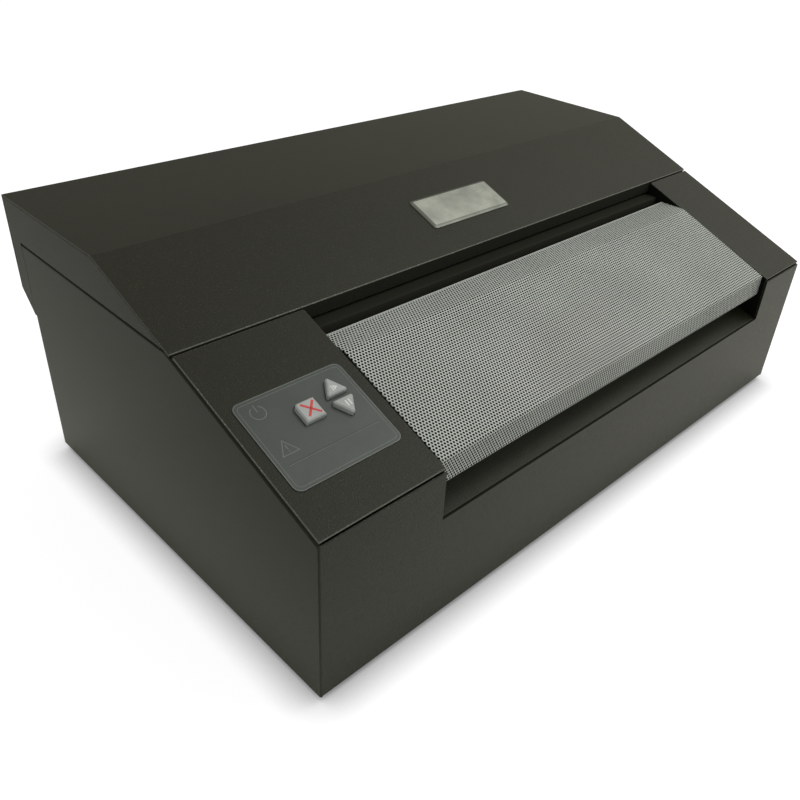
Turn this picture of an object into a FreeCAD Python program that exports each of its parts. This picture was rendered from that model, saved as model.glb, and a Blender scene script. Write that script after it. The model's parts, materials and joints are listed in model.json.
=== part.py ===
import FreeCAD, Part
import math
import os

# A wide desktop braille embosser, in millimetres.
# It is drawn in the case's own frame: X from the left side, Y from the front wall towards the rear,
# Z from the underside of the case. Saving a piece moves it so that the origin is under the middle.

os.makedirs("parts", exist_ok=True)

V = FreeCAD.Vector
X_AXIS = V(1, 0, 0)
Y_AXIS = V(0, 1, 0)
Z_AXIS = V(0, 0, 1)

# Sheet metal
SHEET = 1.5
INSIDE_BEND = 0.2
OUTSIDE_BEND = 1.0
FLANGE = 12.0
SEAM = 0.4
LID_GAP = 0.8
SIDE_SEAM = 1.4
PANEL_ROUND = 1.2
MOVING_GAP = 0.4
RUNNING = 0.05

# Case outline
LEFT_STRIP = 93.8
RECESS_WIDTH = 404.2
RIGHT_STRIP = 62.0
FRONT_HEIGHT = 121.4
SLOPE_ANGLE = 20.7
LID_FRONT_Y = 132.2
FOOT_HEIGHT = 5.0
REAR_CHANNEL = 16.8

# Recess, notch and paper throat
NOTCH_HEIGHT = 82.7
TRAY_RUN = 122.0
TRAY_RISE = 37.3
TRAY_BELOW_PAPER = 7.0
TRAY_SHELF = 22.0
DECK_LID_GAP = 1.2
DECK_SET_BACK = 0.8
DECK_SEAM = 1.0
DECK_ROUND = 0.9
PAPER_BELOW_SEAM = 12.0

# Grille
GRILLE_SHEET = 0.8
GRILLE_SIDE_GAP = 1.1
GRILLE_FRONT_Y = 5.5
GRILLE_FRONT_DROP = 0.6
GRILLE_BEND_Y = 92.0
GRILLE_BEND_RISE = 0.9
GRILLE_REAR_Y = 115.0
GRILLE_LIP = 17.0
GRILLE_LIP_INSET = 1.5
GRILLE_RELIEF = 4.5
GRILLE_PIVOT_Y = 110.0
GRILLE_PIVOT_DROP = 7.0
GRILLE_PIVOT_RADIUS = 2.5
GRILLE_EAR_RADIUS = 5.5
GRILLE_REST_Y = 14.0
GRILLE_REST_DEPTH = 12.0
GRILLE_REST_REACH = 8.0

# Control panel, measured across the deck and up its slope
PANEL_WIDTH = 76.6
PANEL_LENGTH = 64.6
PANEL_START = 29.6
PANEL_THICKNESS = 0.5
PANEL_CORNER = 5.0
KEY_RISE = 3.5
KEY_TRAVEL = 1.0
KEY_FLANGE = 0.8
KEY_BEVEL = 0.9
CANCEL_WIDTH = 13.6
CANCEL_LENGTH = 13.8
CANCEL_CORNER = 1.6
CANCEL_X = 39.8
CANCEL_S = 63.7
ARROW_WIDTH = 15.8
ARROW_LENGTH = 13.2
ARROW_TIP = 1.5
ARROW_X = 60.9
FEED_S = 72.8
PAUSE_S = 69.2
BOARD_THICKNESS = 1.6
KEY_BOARD_INSET = 2.4
SWITCH_HEIGHT = 3.4
SWITCH_RADIUS = 3.0

# Badge
BADGE_WIDTH = 85.6
BADGE_LENGTH = 32.5
BADGE_START = 166.5
BADGE_THICKNESS = 1.6
BADGE_EDGE = 0.5
BADGE_SLOPE = 2.4
BADGE_CORNER = 3.0

# Lid hinges
SKIRT_BELOW_SEAM = 40.0
CHAMFER_RISE = 17.0
CHAMFER_FLANGE = 6.0
LID_RETURN = 6.5
HINGE_LENGTH = 44.0
HINGE_LEAF = 1.2
HINGE_PIN_RADIUS = 1.5
HINGE_KNUCKLE_RADIUS = 2.6
HINGE_KNUCKLES = 5
KNUCKLE_GAP = 0.3
BASE_LEAF_HEIGHT = 18.0
LID_LEAF_HEIGHT = 13.0

# Mechanism frames
LEFT_BAY = 44.0
RIGHT_BAY = 29.0
FRAME = 3.0
FRAME_FRONT_Y = 30.0
FRAME_FOOT = 14.0
FRAME_LOW_TOP = 86.0
FRAME_NECK_Y = 140.0

# Paper feed
SHAFT_BEHIND_LID = 43.8
SHAFT_SQUARE = 9.0
SHAFT_JOURNAL_RADIUS = 4.5
BUSH_WALL = 3.0
BUSH_FLANGE = 3.0
WHEEL_PINS = 9
PIN_PITCH = 12.7
PIN_RADIUS = 1.9
PIN_TIP_RADIUS = 0.9
PIN_HEIGHT = 3.6
WHEEL_WIDTH = 13.4
WHEEL_PLAY = 0.3
HUB_RADIUS = 8.5
SQUARE_CLEARANCE = 0.1
SUPPORT_RADIUS = 5.0
SUPPORT_FORWARD = 22.0
SUPPORT_DROP = 23.8
TRACTOR_PLATE = 4.0
TRACTOR_INSET = 1.2
TRACTOR_FRONT = 30.0
TRACTOR_REAR = 24.0
TRACTOR_DEPTH = 34.0
TRACTOR_FLOOR = 4.0
GATE_THICKNESS = 2.4
GATE_LIFT = 0.9
GATE_WIDTH = 19.0
GATE_LENGTH = 32.0
GATE_AXIS_OUT = 2.4
GATE_AXIS_DROP = 3.0
GATE_PIN_RADIUS = 1.2
GATE_KNUCKLE_RADIUS = 2.3
GATE_LUG = 4.0
GATE_SLOT_WIDTH = 7.0
GATE_SLOT_LENGTH = 26.0
LEVER_THICKNESS = 3.0
LEVER_RING = 3.5
LEVER_LENGTH = 24.0
LEVER_WIDTH = 7.0

# Gears
GEAR_MODULE = 1.0
GEAR_TEETH = 60
PINION_TEETH = 15
GEAR_WIDTH = 7.0
PINION_WIDTH = 9.0
GEAR_PRESSURE_ANGLE = 20.0
GEAR_BACKLASH = 0.2
GEAR_DEDENDUM = 1.25
FLANK_STEPS = 4
PINION_DIRECTION = -60.0
GEAR_FROM_FRAME = 6.0

# Motors
MOTOR_SIZE = 42.0
FEED_MOTOR_LENGTH = 40.0
CARRIAGE_MOTOR_LENGTH = 38.0
MOTOR_CORNER = 4.0
MOTOR_PILOT_RADIUS = 11.0
MOTOR_PILOT_HEIGHT = 2.0
MOTOR_SHAFT_RADIUS = 2.5

# Embossing head
PUNCH_COUNT = 3
PUNCH_PITCH = 20.0
PUNCH_RADIUS = 1.0
PUNCH_REST = 1.2
PUNCH_STROKE = 1.6
PUNCH_COLLAR_RADIUS = 3.0
PUNCH_COLLAR_HEIGHT = 1.6
SOLENOID_RADIUS = 9.0
SOLENOID_LENGTH = 26.0
SOLENOID_ABOVE_PAPER = 6.5
HEAD_BEHIND_SHAFT = 79.0
ROD_RADIUS = 6.0
ROD_ABOVE_PAPER = 23.0
ROD_BUSH_WALL = 2.0
ROD_FROM_PUNCH = 19.0
CARRIAGE_WIDTH = 64.0
CARRIAGE_ABOVE_PAPER = 12.5
CARRIAGE_HEIGHT = 21.0
CARRIAGE_WALL = 2.0
LID_HEADROOM = 6.0

# Die bar and beams
DIE_BELOW_PAPER = 0.8
DIE_HEIGHT = 19.0
DIE_WIDTH = 50.0
DIE_GROOVE_WIDTH = 2.6
DIE_GROOVE_DEPTH = 2.4
BEAM_SHEET = 2.0
PLATEN_BEAM_HEIGHT = 30.0
FRONT_BEAM_Y = 58.0
FRONT_BEAM_Z = 44.0
FRONT_BEAM_SIZE = 20.0

# Carriage drive
PULLEY_RADIUS = 8.0
PULLEY_FLANGE_RADIUS = 9.5
PULLEY_FLANGE = 0.8
BELT_HEIGHT = 5.0
BELT_THICKNESS = 1.4
BELT_ABOVE_PAPER = 4.6
BELT_BEHIND_HEAD = 47.0
BELT_MOTOR_X = 71.0
BELT_IDLER_FROM_FRAME = 16.0
BRACKET = 3.0
CLAMP_LENGTH = 12.0
CLAMP_JAW = 2.6
IDLER_PIN_RADIUS = 3.0

# Rear paper guide
GUIDE_SHEET = 1.2
GUIDE_BEND = 12.0
GUIDE_DROP = 18.0
GUIDE_BELOW_PAPER = 1.0
GUIDE_SIDE_GAP = 2.0
REAR_WALL_BELOW_PAPER = 14.0
REAR_CLEARANCE = 1.7

# Power and electronics
SUPPLY_FROM_FRAME = 15.0
SUPPLY_Y = 118.0
SUPPLY_WIDTH = 150.0
SUPPLY_LENGTH = 130.0
SUPPLY_HEIGHT = 40.0
SUPPLY_SHEET = 1.2
SUPPLY_SLOTS = 8
SUPPLY_SLOT_WIDTH = 3.0
SUPPLY_SLOT_PITCH = 12.0
MAIN_BOARD_FROM_FRAME = 54.0
MAIN_BOARD_WIDTH = 112.0
MAIN_BOARD_LENGTH = 190.0
STANDOFF_HEIGHT = 8.0
STANDOFF_RADIUS = 3.0
STANDOFF_INSET = 6.0
CHIP_HEIGHT = 3.0
HEAT_SINK_HEIGHT = 14.0
CAPACITORS = 3
CAPACITOR_RADIUS = 6.0
CAPACITOR_HEIGHT = 20.0
FAN_SIZE = 60.0
FAN_DEPTH = 20.0
FAN_FROM_BOARD = 22.0
FAN_Z = 12.0
FAN_RIM = 2.0
FAN_TIP_GAP = 1.5
FAN_HUB_RADIUS = 12.0
FAN_BLADES = 7
FAN_BLADE_THICKNESS = 1.2
FAN_BLADE_ANGLE = 35.0
FAN_BLADE_ROOT = 2.0
FAN_PIN_RADIUS = 2.0
FAN_ARMS = 3
FAN_WEB = 3.0
VENT_RADIUS = 2.5
VENT_RINGS = 3
VENT_RING_PITCH = 7.5
INLET_FROM_RIGHT = 80.0
INLET_Z = 16.0
INLET_WIDTH = 28.0
INLET_HEIGHT = 50.0
INLET_FLANGE = 2.0
INLET_FLANGE_REACH = 4.0
INLET_DEPTH = 24.0
SOCKET_WIDTH = 24.0
SOCKET_HEIGHT = 16.5
SOCKET_CORNER = 4.5
SOCKET_DEPTH = 17.0
SOCKET_PIN_LENGTH = 11.0
SOCKET_PIN_WIDTH = 2.0
SOCKET_PIN_HEIGHT = 4.0
SOCKET_PIN_SPREAD = 7.0
SOCKET_PIN_OFFSET = 2.0
ROCKER_WIDTH = 19.0
ROCKER_HEIGHT = 13.0
ROCKER_WELL_DEPTH = 12.0
ROCKER_TILT = 9.0
ROCKER_FACE_INSET = 0.2
ROCKER_BODY_DEPTH = 5.0
ROCKER_AXLE_RADIUS = 1.5
ROCKER_AXLE_INSET = 2.0
PORT_KINDS = [(12.0, 11.0), (16.0, 14.0), (31.0, 12.0)]
PORT_GAP = 10.0
PORT_DEPTH = 14.0
PORT_WALL = 1.2
SCREW_HEAD_RADIUS = 3.2
SCREW_HEAD_HEIGHT = 1.8
SCREW_RADIUS = 1.5
SCREW_LENGTH = 5.0
SCREW_INSET = 8.5
SCREW_HEIGHTS = [36.0, 78.0]
FOOT_RADIUS = 10.0
FOOT_INSET = 32.0

# Sizes worked out from the values above
SLOPE_TAN = math.tan(math.radians(SLOPE_ANGLE))
SLOPE_COS = math.cos(math.radians(SLOPE_ANGLE))
CASE_WIDTH = LEFT_STRIP + RECESS_WIDTH + RIGHT_STRIP
RECESS_X0 = LEFT_STRIP
RECESS_X1 = LEFT_STRIP + RECESS_WIDTH
RECESS_MIDDLE = (RECESS_X0 + RECESS_X1) / 2


def slope_z(y):
    """Height of the sloping face above the underside of the case, y behind the front wall."""
    return FRONT_HEIGHT + y * SLOPE_TAN


SEAM_Z = slope_z(LID_FRONT_Y) + LID_GAP
PAPER_Z = SEAM_Z - PAPER_BELOW_SEAM
CARRIAGE_Z = PAPER_Z + CARRIAGE_ABOVE_PAPER
CARRIAGE_TOP = CARRIAGE_Z + CARRIAGE_HEIGHT
SOLENOID_Z = PAPER_Z + SOLENOID_ABOVE_PAPER
SOLENOID_TOP = SOLENOID_Z + SOLENOID_LENGTH
COLLAR_Z = SOLENOID_TOP + PUNCH_STROKE + MOVING_GAP
HEAD_TOP = COLLAR_Z + PUNCH_COLLAR_HEIGHT
TOP_Z = HEAD_TOP + LID_HEADROOM
CREASE_Y = (TOP_Z - FRONT_HEIGHT) / SLOPE_TAN
SLOPE_DROP = SHEET / SLOPE_COS
WALL_TOP = FRONT_HEIGHT - SLOPE_DROP - DECK_SEAM
SIDE_SEAM_Z = slope_z(LID_FRONT_Y)

SHAFT_Y = LID_FRONT_Y + SHAFT_BEHIND_LID
WHEEL_RADIUS = WHEEL_PINS * PIN_PITCH / (2 * math.pi)
SHAFT_Z = PAPER_Z - WHEEL_RADIUS
SUPPORT_Y = SHAFT_Y - SUPPORT_FORWARD
SUPPORT_Z = SHAFT_Z - SUPPORT_DROP
HEAD_Y = SHAFT_Y + HEAD_BEHIND_SHAFT
PUNCH_YS = [HEAD_Y + (i - (PUNCH_COUNT - 1) / 2) * PUNCH_PITCH for i in range(PUNCH_COUNT)]
ROD_YS = [PUNCH_YS[0] - ROD_FROM_PUNCH, PUNCH_YS[-1] + ROD_FROM_PUNCH]
ROD_Z = PAPER_Z + ROD_ABOVE_PAPER
ROD_BUSH_RADIUS = ROD_RADIUS + ROD_BUSH_WALL
CARRIAGE_FRONT = ROD_YS[0] - ROD_BUSH_RADIUS - CARRIAGE_WALL
CARRIAGE_REAR = ROD_YS[1] + ROD_BUSH_RADIUS + CARRIAGE_WALL
BELT_Y = HEAD_Y + BELT_BEHIND_HEAD
BELT_Z = PAPER_Z + BELT_ABOVE_PAPER
BASE_DEPTH = BELT_Y + MOTOR_SIZE / 2 + REAR_CLEARANCE + SHEET
CASE_DEPTH = BASE_DEPTH + REAR_CHANNEL

FRAME_LEFT_X = LEFT_BAY
FRAME_RIGHT_X = CASE_WIDTH - RIGHT_BAY - FRAME
INNER_X0 = FRAME_LEFT_X + FRAME
INNER_X1 = FRAME_RIGHT_X
BELT_IDLER_X = INNER_X1 - BELT_IDLER_FROM_FRAME
CARRIAGE_X = CASE_WIDTH / 2
SUPPLY_X = FRAME_RIGHT_X + FRAME - FRAME_FOOT - SUPPLY_FROM_FRAME - SUPPLY_WIDTH
MAIN_BOARD_X = FRAME_LEFT_X + FRAME_FOOT + MAIN_BOARD_FROM_FRAME
FAN_X = MAIN_BOARD_X + MAIN_BOARD_WIDTH + FAN_FROM_BOARD
FAN_BORE_RADIUS = FAN_SIZE / 2 - FAN_RIM
FAN_BLADE_RADIUS = FAN_BORE_RADIUS - FAN_TIP_GAP
INLET_X = CASE_WIDTH - INLET_FROM_RIGHT - INLET_WIDTH

PIVOT_Z = slope_z(GRILLE_BEND_Y) + GRILLE_BEND_RISE - GRILLE_PIVOT_DROP
SKIRT_Z = SEAM_Z - SKIRT_BELOW_SEAM
CHAMFER_FOOT_Y = BASE_DEPTH + LID_GAP + SHEET
CHAMFER_FOOT_Z = SKIRT_Z - CHAMFER_RISE
CHAMFER_ANGLE = math.atan2(CHAMFER_RISE, CASE_DEPTH - CHAMFER_FOOT_Y)
HINGE_Y = BASE_DEPTH + HINGE_KNUCKLE_RADIUS
HINGE_Z = CHAMFER_FOOT_Z - (
    HINGE_KNUCKLE_RADIUS - (HINGE_Y - CHAMFER_FOOT_Y) * math.sin(CHAMFER_ANGLE)
) / math.cos(CHAMFER_ANGLE)
HINGE_CENTRES = [LEFT_STRIP / 2, CASE_WIDTH - RIGHT_STRIP / 2]


def box(x0, x1, y0, y1, z0, z1):
    """A block between the given faces."""
    return Part.makeBox(x1 - x0, y1 - y0, z1 - z0, V(x0, y0, z0))


def bar_x(radius, x0, x1, y, z):
    """A round bar along X."""
    return Part.makeCylinder(radius, x1 - x0, V(x0, y, z), X_AXIS)


def bar_y(radius, y0, y1, x, z):
    """A round bar along Y."""
    return Part.makeCylinder(radius, y1 - y0, V(x, y0, z), Y_AXIS)


def bar_z(radius, z0, z1, x, y):
    """A round bar along Z."""
    return Part.makeCylinder(radius, z1 - z0, V(x, y, z0), Z_AXIS)


def joined(shapes):
    """One solid from pieces that touch."""
    return shapes[0].multiFuse(shapes[1:]).removeSplitter()


def separate(shapes):
    """A group of solids that stay separate."""
    return Part.makeCompound(shapes)


def without(shape, tools):
    """The shape with every tool cut away."""
    return shape.cut(tools)


def plate_x(outline, x0, x1):
    """A plate square to X with an outline of (y, z) points."""
    points = [V(x0, y, z) for y, z in outline]
    wire = Part.makePolygon(points + points[:1])
    return Part.Face(wire).extrude(V(x1 - x0, 0, 0))


def mirrored(shape, middle):
    """The shape mirrored left to right about a middle plane."""
    return shape.mirror(V(middle, 0, 0), X_AXIS)


def offset_line(points, distance):
    """A parallel line of (y, z) points, to the right of travel, with mitred corners."""
    normals = []
    for (y0, z0), (y1, z1) in zip(points, points[1:]):
        length = math.hypot(y1 - y0, z1 - z0)
        normals.append(((z1 - z0) / length, -(y1 - y0) / length))
    result = []
    for i, (y, z) in enumerate(points):
        ny0, nz0 = normals[max(i - 1, 0)]
        ny1, nz1 = normals[min(i, len(normals) - 1)]
        scale = distance / (1 + ny0 * ny1 + nz0 * nz1)
        result.append((y + (ny0 + ny1) * scale, z + (nz0 + nz1) * scale))
    return result


def turn_at(points, i):
    """The angle by which the line turns at point i, positive to the left of travel."""
    (y0, z0), (y1, z1), (y2, z2) = points[i - 1:i + 2]
    angle = math.atan2(z2 - z1, y2 - y1) - math.atan2(z1 - z0, y1 - y0)
    return (angle + math.pi) % (2 * math.pi) - math.pi


def bent_edges(points, left_radius, right_radius):
    """Straight runs joined by tangent arcs in the plane x = 0, with a radius for each way of turning."""
    edges = []
    start = V(0, *points[0])
    for i in range(1, len(points) - 1):
        corner = V(0, *points[i])
        back = (V(0, *points[i - 1]) - corner).normalize()
        ahead = (V(0, *points[i + 1]) - corner).normalize()
        turn = turn_at(points, i)
        radius = left_radius if turn > 0 else right_radius
        reach = radius * math.tan(abs(turn) / 2)
        arc_start = corner + back * reach
        arc_end = corner + ahead * reach
        to_centre = (back + ahead).normalize()
        depth = radius / math.cos(abs(turn) / 2) - radius
        edges.append(Part.makeLine(start, arc_start))
        edges.append(Part.Arc(arc_start, corner + to_centre * depth, arc_end).toShape())
        start = arc_end
    edges.append(Part.makeLine(start, V(0, *points[-1])))
    return edges


def bent_sheet(points, thickness, x0, x1, inside=INSIDE_BEND, outside=OUTSIDE_BEND):
    """A folded sheet along X, with its thickness to the right of the line of (y, z) points."""
    inner = offset_line(points, thickness)
    edges = bent_edges(points, inside, outside)
    edges.append(Part.makeLine(V(0, *points[-1]), V(0, *inner[-1])))
    edges += bent_edges(inner[::-1], inside, outside)
    edges.append(Part.makeLine(V(0, *inner[0]), V(0, *points[0])))
    solid = Part.Face(Part.Wire(edges)).extrude(V(x1 - x0, 0, 0))
    solid.translate(V(x0, 0, 0))
    return solid


def on_slope(shape):
    """A shape drawn flat, as (across, up the slope, out of it), laid on the sloping face."""
    laid = shape.copy()
    laid.rotate(V(0, 0, 0), X_AXIS, SLOPE_ANGLE)
    laid.translate(V(0, 0, FRONT_HEIGHT))
    return laid


def prism(outline, z0, z1):
    """An upright prism with an outline of (x, y) points."""
    points = [V(x, y, z0) for x, y in outline]
    wire = Part.makePolygon(points + points[:1])
    return Part.Face(wire).extrude(V(0, 0, z1 - z0))


def grown_prism(outline, grow, z0, z1):
    """A prism whose outline is moved out all round."""
    points = [V(x, y, z0) for x, y in outline]
    wire = Part.makePolygon(points + points[:1])
    return Part.Face(wire.makeOffset2D(grow)).extrude(V(0, 0, z1 - z0))


def rounded_block(x0, x1, y0, y1, z0, z1, radius):
    """A block with its upright edges rounded."""
    block = box(x0, x1, y0, y1, z0, z1)
    upright = [e for e in block.Edges if abs(e.tangentAt(e.FirstParameter).z) > 0.5]
    return block.makeFillet(radius, upright)


def rounded_edges(shape, radius, chosen):
    """The shape with some edges rounded, chosen by their middles."""
    return shape.makeFillet(radius, [edge for edge in shape.Edges if chosen(edge.CenterOfMass)])


def save(name, shape):
    """Moves a piece from the case's frame to the object's own frame and writes it."""
    placed = shape.copy()
    placed.translate(V(-CASE_WIDTH / 2, -CASE_DEPTH / 2, FOOT_HEIGHT))
    placed.exportStep("parts/" + name + ".step")


# Casework
def side_outline():
    """The base's side: its slope runs below the deck's edge up to the seam, and the seam back to the rear."""
    top = SIDE_SEAM_Z - SIDE_SEAM / 2
    crest = (top - WALL_TOP) / SLOPE_TAN
    return [(0, 0), (BASE_DEPTH, 0), (BASE_DEPTH, top), (crest, top), (0, WALL_TOP)]


def side_panel():
    """The left side with its flanges to the floor and the rear wall."""
    def front_or_top(middle):
        return middle.x < RUNNING and (middle.y < RUNNING or middle.z > WALL_TOP)

    wall = rounded_edges(plate_x(side_outline(), 0, SHEET), PANEL_ROUND, front_or_top)
    floor_flange = box(SHEET, SHEET + FLANGE, FLANGE, BASE_DEPTH - 2 * FLANGE, SHEET, 2 * SHEET)
    rear_face = BASE_DEPTH - SHEET
    top = SEAM_Z - FLANGE
    rear_flange = box(SHEET, SHEET + FLANGE, rear_face - SHEET, rear_face, 2 * SHEET, top)
    return without(joined([wall, floor_flange, rear_flange]), side_screws())


def rear_cut_outs():
    """The openings in the rear wall."""
    y0 = BASE_DEPTH - 2 * SHEET
    y1 = BASE_DEPTH + SHEET
    cuts = [box(INLET_X, INLET_X + INLET_WIDTH, y0, y1, INLET_Z, INLET_Z + INLET_HEIGHT)]
    for x0, x1, z0, z1 in port_boxes():
        cuts.append(box(x0, x1, y0, y1, z0, z1))
    middle_x = FAN_X + FAN_SIZE / 2
    middle_z = FAN_Z + FAN_SIZE / 2
    for ring in range(VENT_RINGS + 1):
        count = 6 * ring if ring else 1
        for i in range(count):
            angle = 2 * math.pi * i / count
            x = middle_x + ring * VENT_RING_PITCH * math.cos(angle)
            z = middle_z + ring * VENT_RING_PITCH * math.sin(angle)
            cuts.append(bar_y(VENT_RADIUS, y0, y1, x, z))
    return cuts


def base_pan():
    """Floor, front wall with its notch, and rear wall, which is lower where the paper comes in."""
    x0 = SHEET
    x1 = CASE_WIDTH - SHEET
    rear_top = SEAM_Z - 2 * LID_GAP
    line = [(BASE_DEPTH, rear_top), (BASE_DEPTH, 0), (0, 0), (0, WALL_TOP)]
    pan = bent_sheet(line, SHEET, x0, x1)
    notch = box(RECESS_X0, RECESS_X1, -SHEET, 2 * SHEET, NOTCH_HEIGHT, FRONT_HEIGHT)
    paper_way = box(
        RECESS_X0, RECESS_X1, BASE_DEPTH - 2 * SHEET, BASE_DEPTH + SHEET,
        PAPER_Z - REAR_WALL_BELOW_PAPER, SEAM_Z,
    )
    return without(pan, [notch, paper_way] + rear_cut_outs() + side_screws() + side_screws_right())


def deck_end():
    """Where the deck's sheet turns down, just in front of the lid."""
    return LID_FRONT_Y - DECK_LID_GAP


def tray_floor_z(y):
    """Height of the recess floor."""
    return NOTCH_HEIGHT + (y - SHEET) * TRAY_RISE / (TRAY_RUN - SHEET)


def deck(width, cuts):
    """The sheet left of the recess: a flange below its left edge, and the recess wall at its right."""
    edge = DECK_SET_BACK
    end = deck_end()
    front = SHEET + SEAM
    rear = end - SHEET

    def free(middle):
        at_side = min(middle.x, middle.y) < edge + RUNNING or middle.x > width - RUNNING
        return at_side and abs(middle.z - slope_z(middle.y)) < RUNNING

    def upright(x, foot_z):
        drop = (SLOPE_DROP + DECK_ROUND) / 2
        outline = [(front, slope_z(front) - drop), (rear, slope_z(rear) - drop)]
        outline += [(rear, foot_z(rear)), (front, foot_z(front))]
        return plate_x(outline, x, x + SHEET)

    line = [(edge, slope_z(edge)), (end, slope_z(end)), (end, slope_z(end) - FLANGE)]
    sheet = rounded_edges(bent_sheet(line, SHEET, edge, width), DECK_ROUND, free)
    beyond = end + SHEET
    below_edge = plate_x([
        (0, slope_z(0) - SLOPE_DROP), (beyond, slope_z(beyond) - SLOPE_DROP),
        (beyond, slope_z(0) - FLANGE), (0, slope_z(0) - FLANGE),
    ], 0, front)
    flange = upright(front, lambda y: slope_z(y) - FLANGE)
    wall = upright(width - SHEET, tray_floor_z)
    rest_top = grille_z(GRILLE_REST_Y) - GRILLE_SHEET / SLOPE_COS - MOVING_GAP
    rest = box(
        width, width + GRILLE_REST_REACH, GRILLE_REST_Y, GRILLE_REST_Y + GRILLE_REST_DEPTH,
        rest_top - SHEET, rest_top,
    )
    return without(joined([without(sheet, [below_edge]), flange, wall, rest]), cuts)


def recess_tray():
    """The floor of the recess, the wall behind it and the shelf that the paper passes over."""
    shelf_z = PAPER_Z - TRAY_BELOW_PAPER
    back_z = tray_floor_z(TRAY_RUN)
    front = SHEET + SEAM
    line = [
        (front, NOTCH_HEIGHT - FLANGE), (front, tray_floor_z(front)), (TRAY_RUN, back_z),
        (TRAY_RUN, shelf_z), (TRAY_RUN + TRAY_SHELF, shelf_z),
    ]
    return bent_sheet(line, SHEET, RECESS_X0, RECESS_X1)


def foot_places():
    """The middles of the four feet."""
    xs = [FOOT_INSET, CASE_WIDTH - FOOT_INSET]
    ys = [FOOT_INSET, BASE_DEPTH - FOOT_INSET]
    return [(x, y) for x in xs for y in ys]


def feet():
    """Four round rubber feet under the floor."""
    return separate([bar_z(FOOT_RADIUS, -FOOT_HEIGHT, 0, x, y) for x, y in foot_places()])


def side_screws():
    """The screws through the rear wall into the left side's flange."""
    return [screw_y(SHEET + SCREW_INSET, z) for z in SCREW_HEIGHTS]


def side_screws_right():
    """The same screws on the right."""
    return [mirrored(screw, CASE_WIDTH / 2) for screw in side_screws()]


def screw_y(x, z):
    """A pan head screw in the rear wall."""
    shank = bar_y(SCREW_RADIUS, BASE_DEPTH - SCREW_LENGTH, BASE_DEPTH, x, z)
    head = bar_y(SCREW_HEAD_RADIUS, BASE_DEPTH, BASE_DEPTH + SCREW_HEAD_HEIGHT, x, z)
    return joined([shank, head])


# Lid
def lid_line():
    """The outer line of the lid's folded sheet, from the front return to the chamfer's foot."""
    front = (LID_FRONT_Y, slope_z(LID_FRONT_Y))
    return [
        (front[0], front[1] - LID_RETURN), front, (CREASE_Y, TOP_Z), (CASE_DEPTH, TOP_Z),
        (CASE_DEPTH, SKIRT_Z), (CHAMFER_FOOT_Y, CHAMFER_FOOT_Z),
    ]


def lid_cheek():
    """The left cheek, closed along the side seam and the rear seam."""
    seam = SIDE_SEAM_Z + SIDE_SEAM / 2
    rear_seam = BASE_DEPTH + SEAM
    front = ((seam - FRONT_HEIGHT) / SLOPE_TAN, seam)
    line = [front] + lid_line()[2:]
    edges = bent_edges(line, INSIDE_BEND, OUTSIDE_BEND)
    corners = [line[-1], (rear_seam, CHAMFER_FOOT_Z), (rear_seam, seam), front]
    for (y0, z0), (y1, z1) in zip(corners, corners[1:]):
        edges.append(Part.makeLine(V(0, y0, z0), V(0, y1, z1)))
    return Part.Face(Part.Wire(edges)).extrude(V(SHEET, 0, 0))


def lid_shell():
    """Folded sheet with a welded cheek at each end, and a way in for the paper at the rear."""
    sheet = bent_sheet(lid_line(), SHEET, 0, CASE_WIDTH)
    cheek = lid_cheek()
    joint = bent_sheet(offset_line(lid_line(), SHEET)[1:], SEAM, -SEAM, SEAM)
    keep_y = CASE_DEPTH - CHAMFER_FLANGE
    paper_way = box(RECESS_X0, RECESS_X1, BASE_DEPTH - SHEET, keep_y, CHAMFER_FOOT_Z - SHEET, SKIRT_Z)
    seam = SIDE_SEAM_Z + SIDE_SEAM / 2
    ahead = LID_FRONT_Y - SHEET
    side_way = plate_x([
        (ahead, slope_z(ahead) - SLOPE_DROP), ((seam + SLOPE_DROP - FRONT_HEIGHT) / SLOPE_TAN, seam),
        (CREASE_Y, seam), (CREASE_Y, seam - 2 * FLANGE), (ahead, seam - 2 * FLANGE),
    ], -SHEET, SHEET + SEAM)
    cuts = [joint, side_way]
    shell = joined([sheet, cheek, mirrored(cheek, CASE_WIDTH / 2)])
    return without(shell, [paper_way] + cuts + [mirrored(cut, CASE_WIDTH / 2) for cut in cuts])


def badge_plate():
    """A plate that slopes up all round to a flat field, on the middle of the lid's slope."""
    x0 = (CASE_WIDTH - BADGE_WIDTH) / 2
    y1 = BADGE_START + BADGE_LENGTH
    foot = rounded_block(x0, x0 + BADGE_WIDTH, BADGE_START, y1, 0, BADGE_EDGE, BADGE_CORNER)
    rim = max(foot.Faces, key=lambda face: face.CenterOfMass.z).OuterWire
    field = rim.makeOffset2D(-BADGE_SLOPE)
    field.translate(V(0, 0, BADGE_THICKNESS - BADGE_EDGE))
    return on_slope(joined([foot, Part.makeLoft([rim, field], True, True)]))


# Hinges
def knuckle_spans(centre):
    """The stretches of a hinge's knuckles along X, in order."""
    pitch = HINGE_LENGTH / HINGE_KNUCKLES
    start = centre - HINGE_LENGTH / 2
    half = KNUCKLE_GAP / 2
    return [(start + i * pitch + half, start + (i + 1) * pitch - half) for i in range(HINGE_KNUCKLES)]


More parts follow.
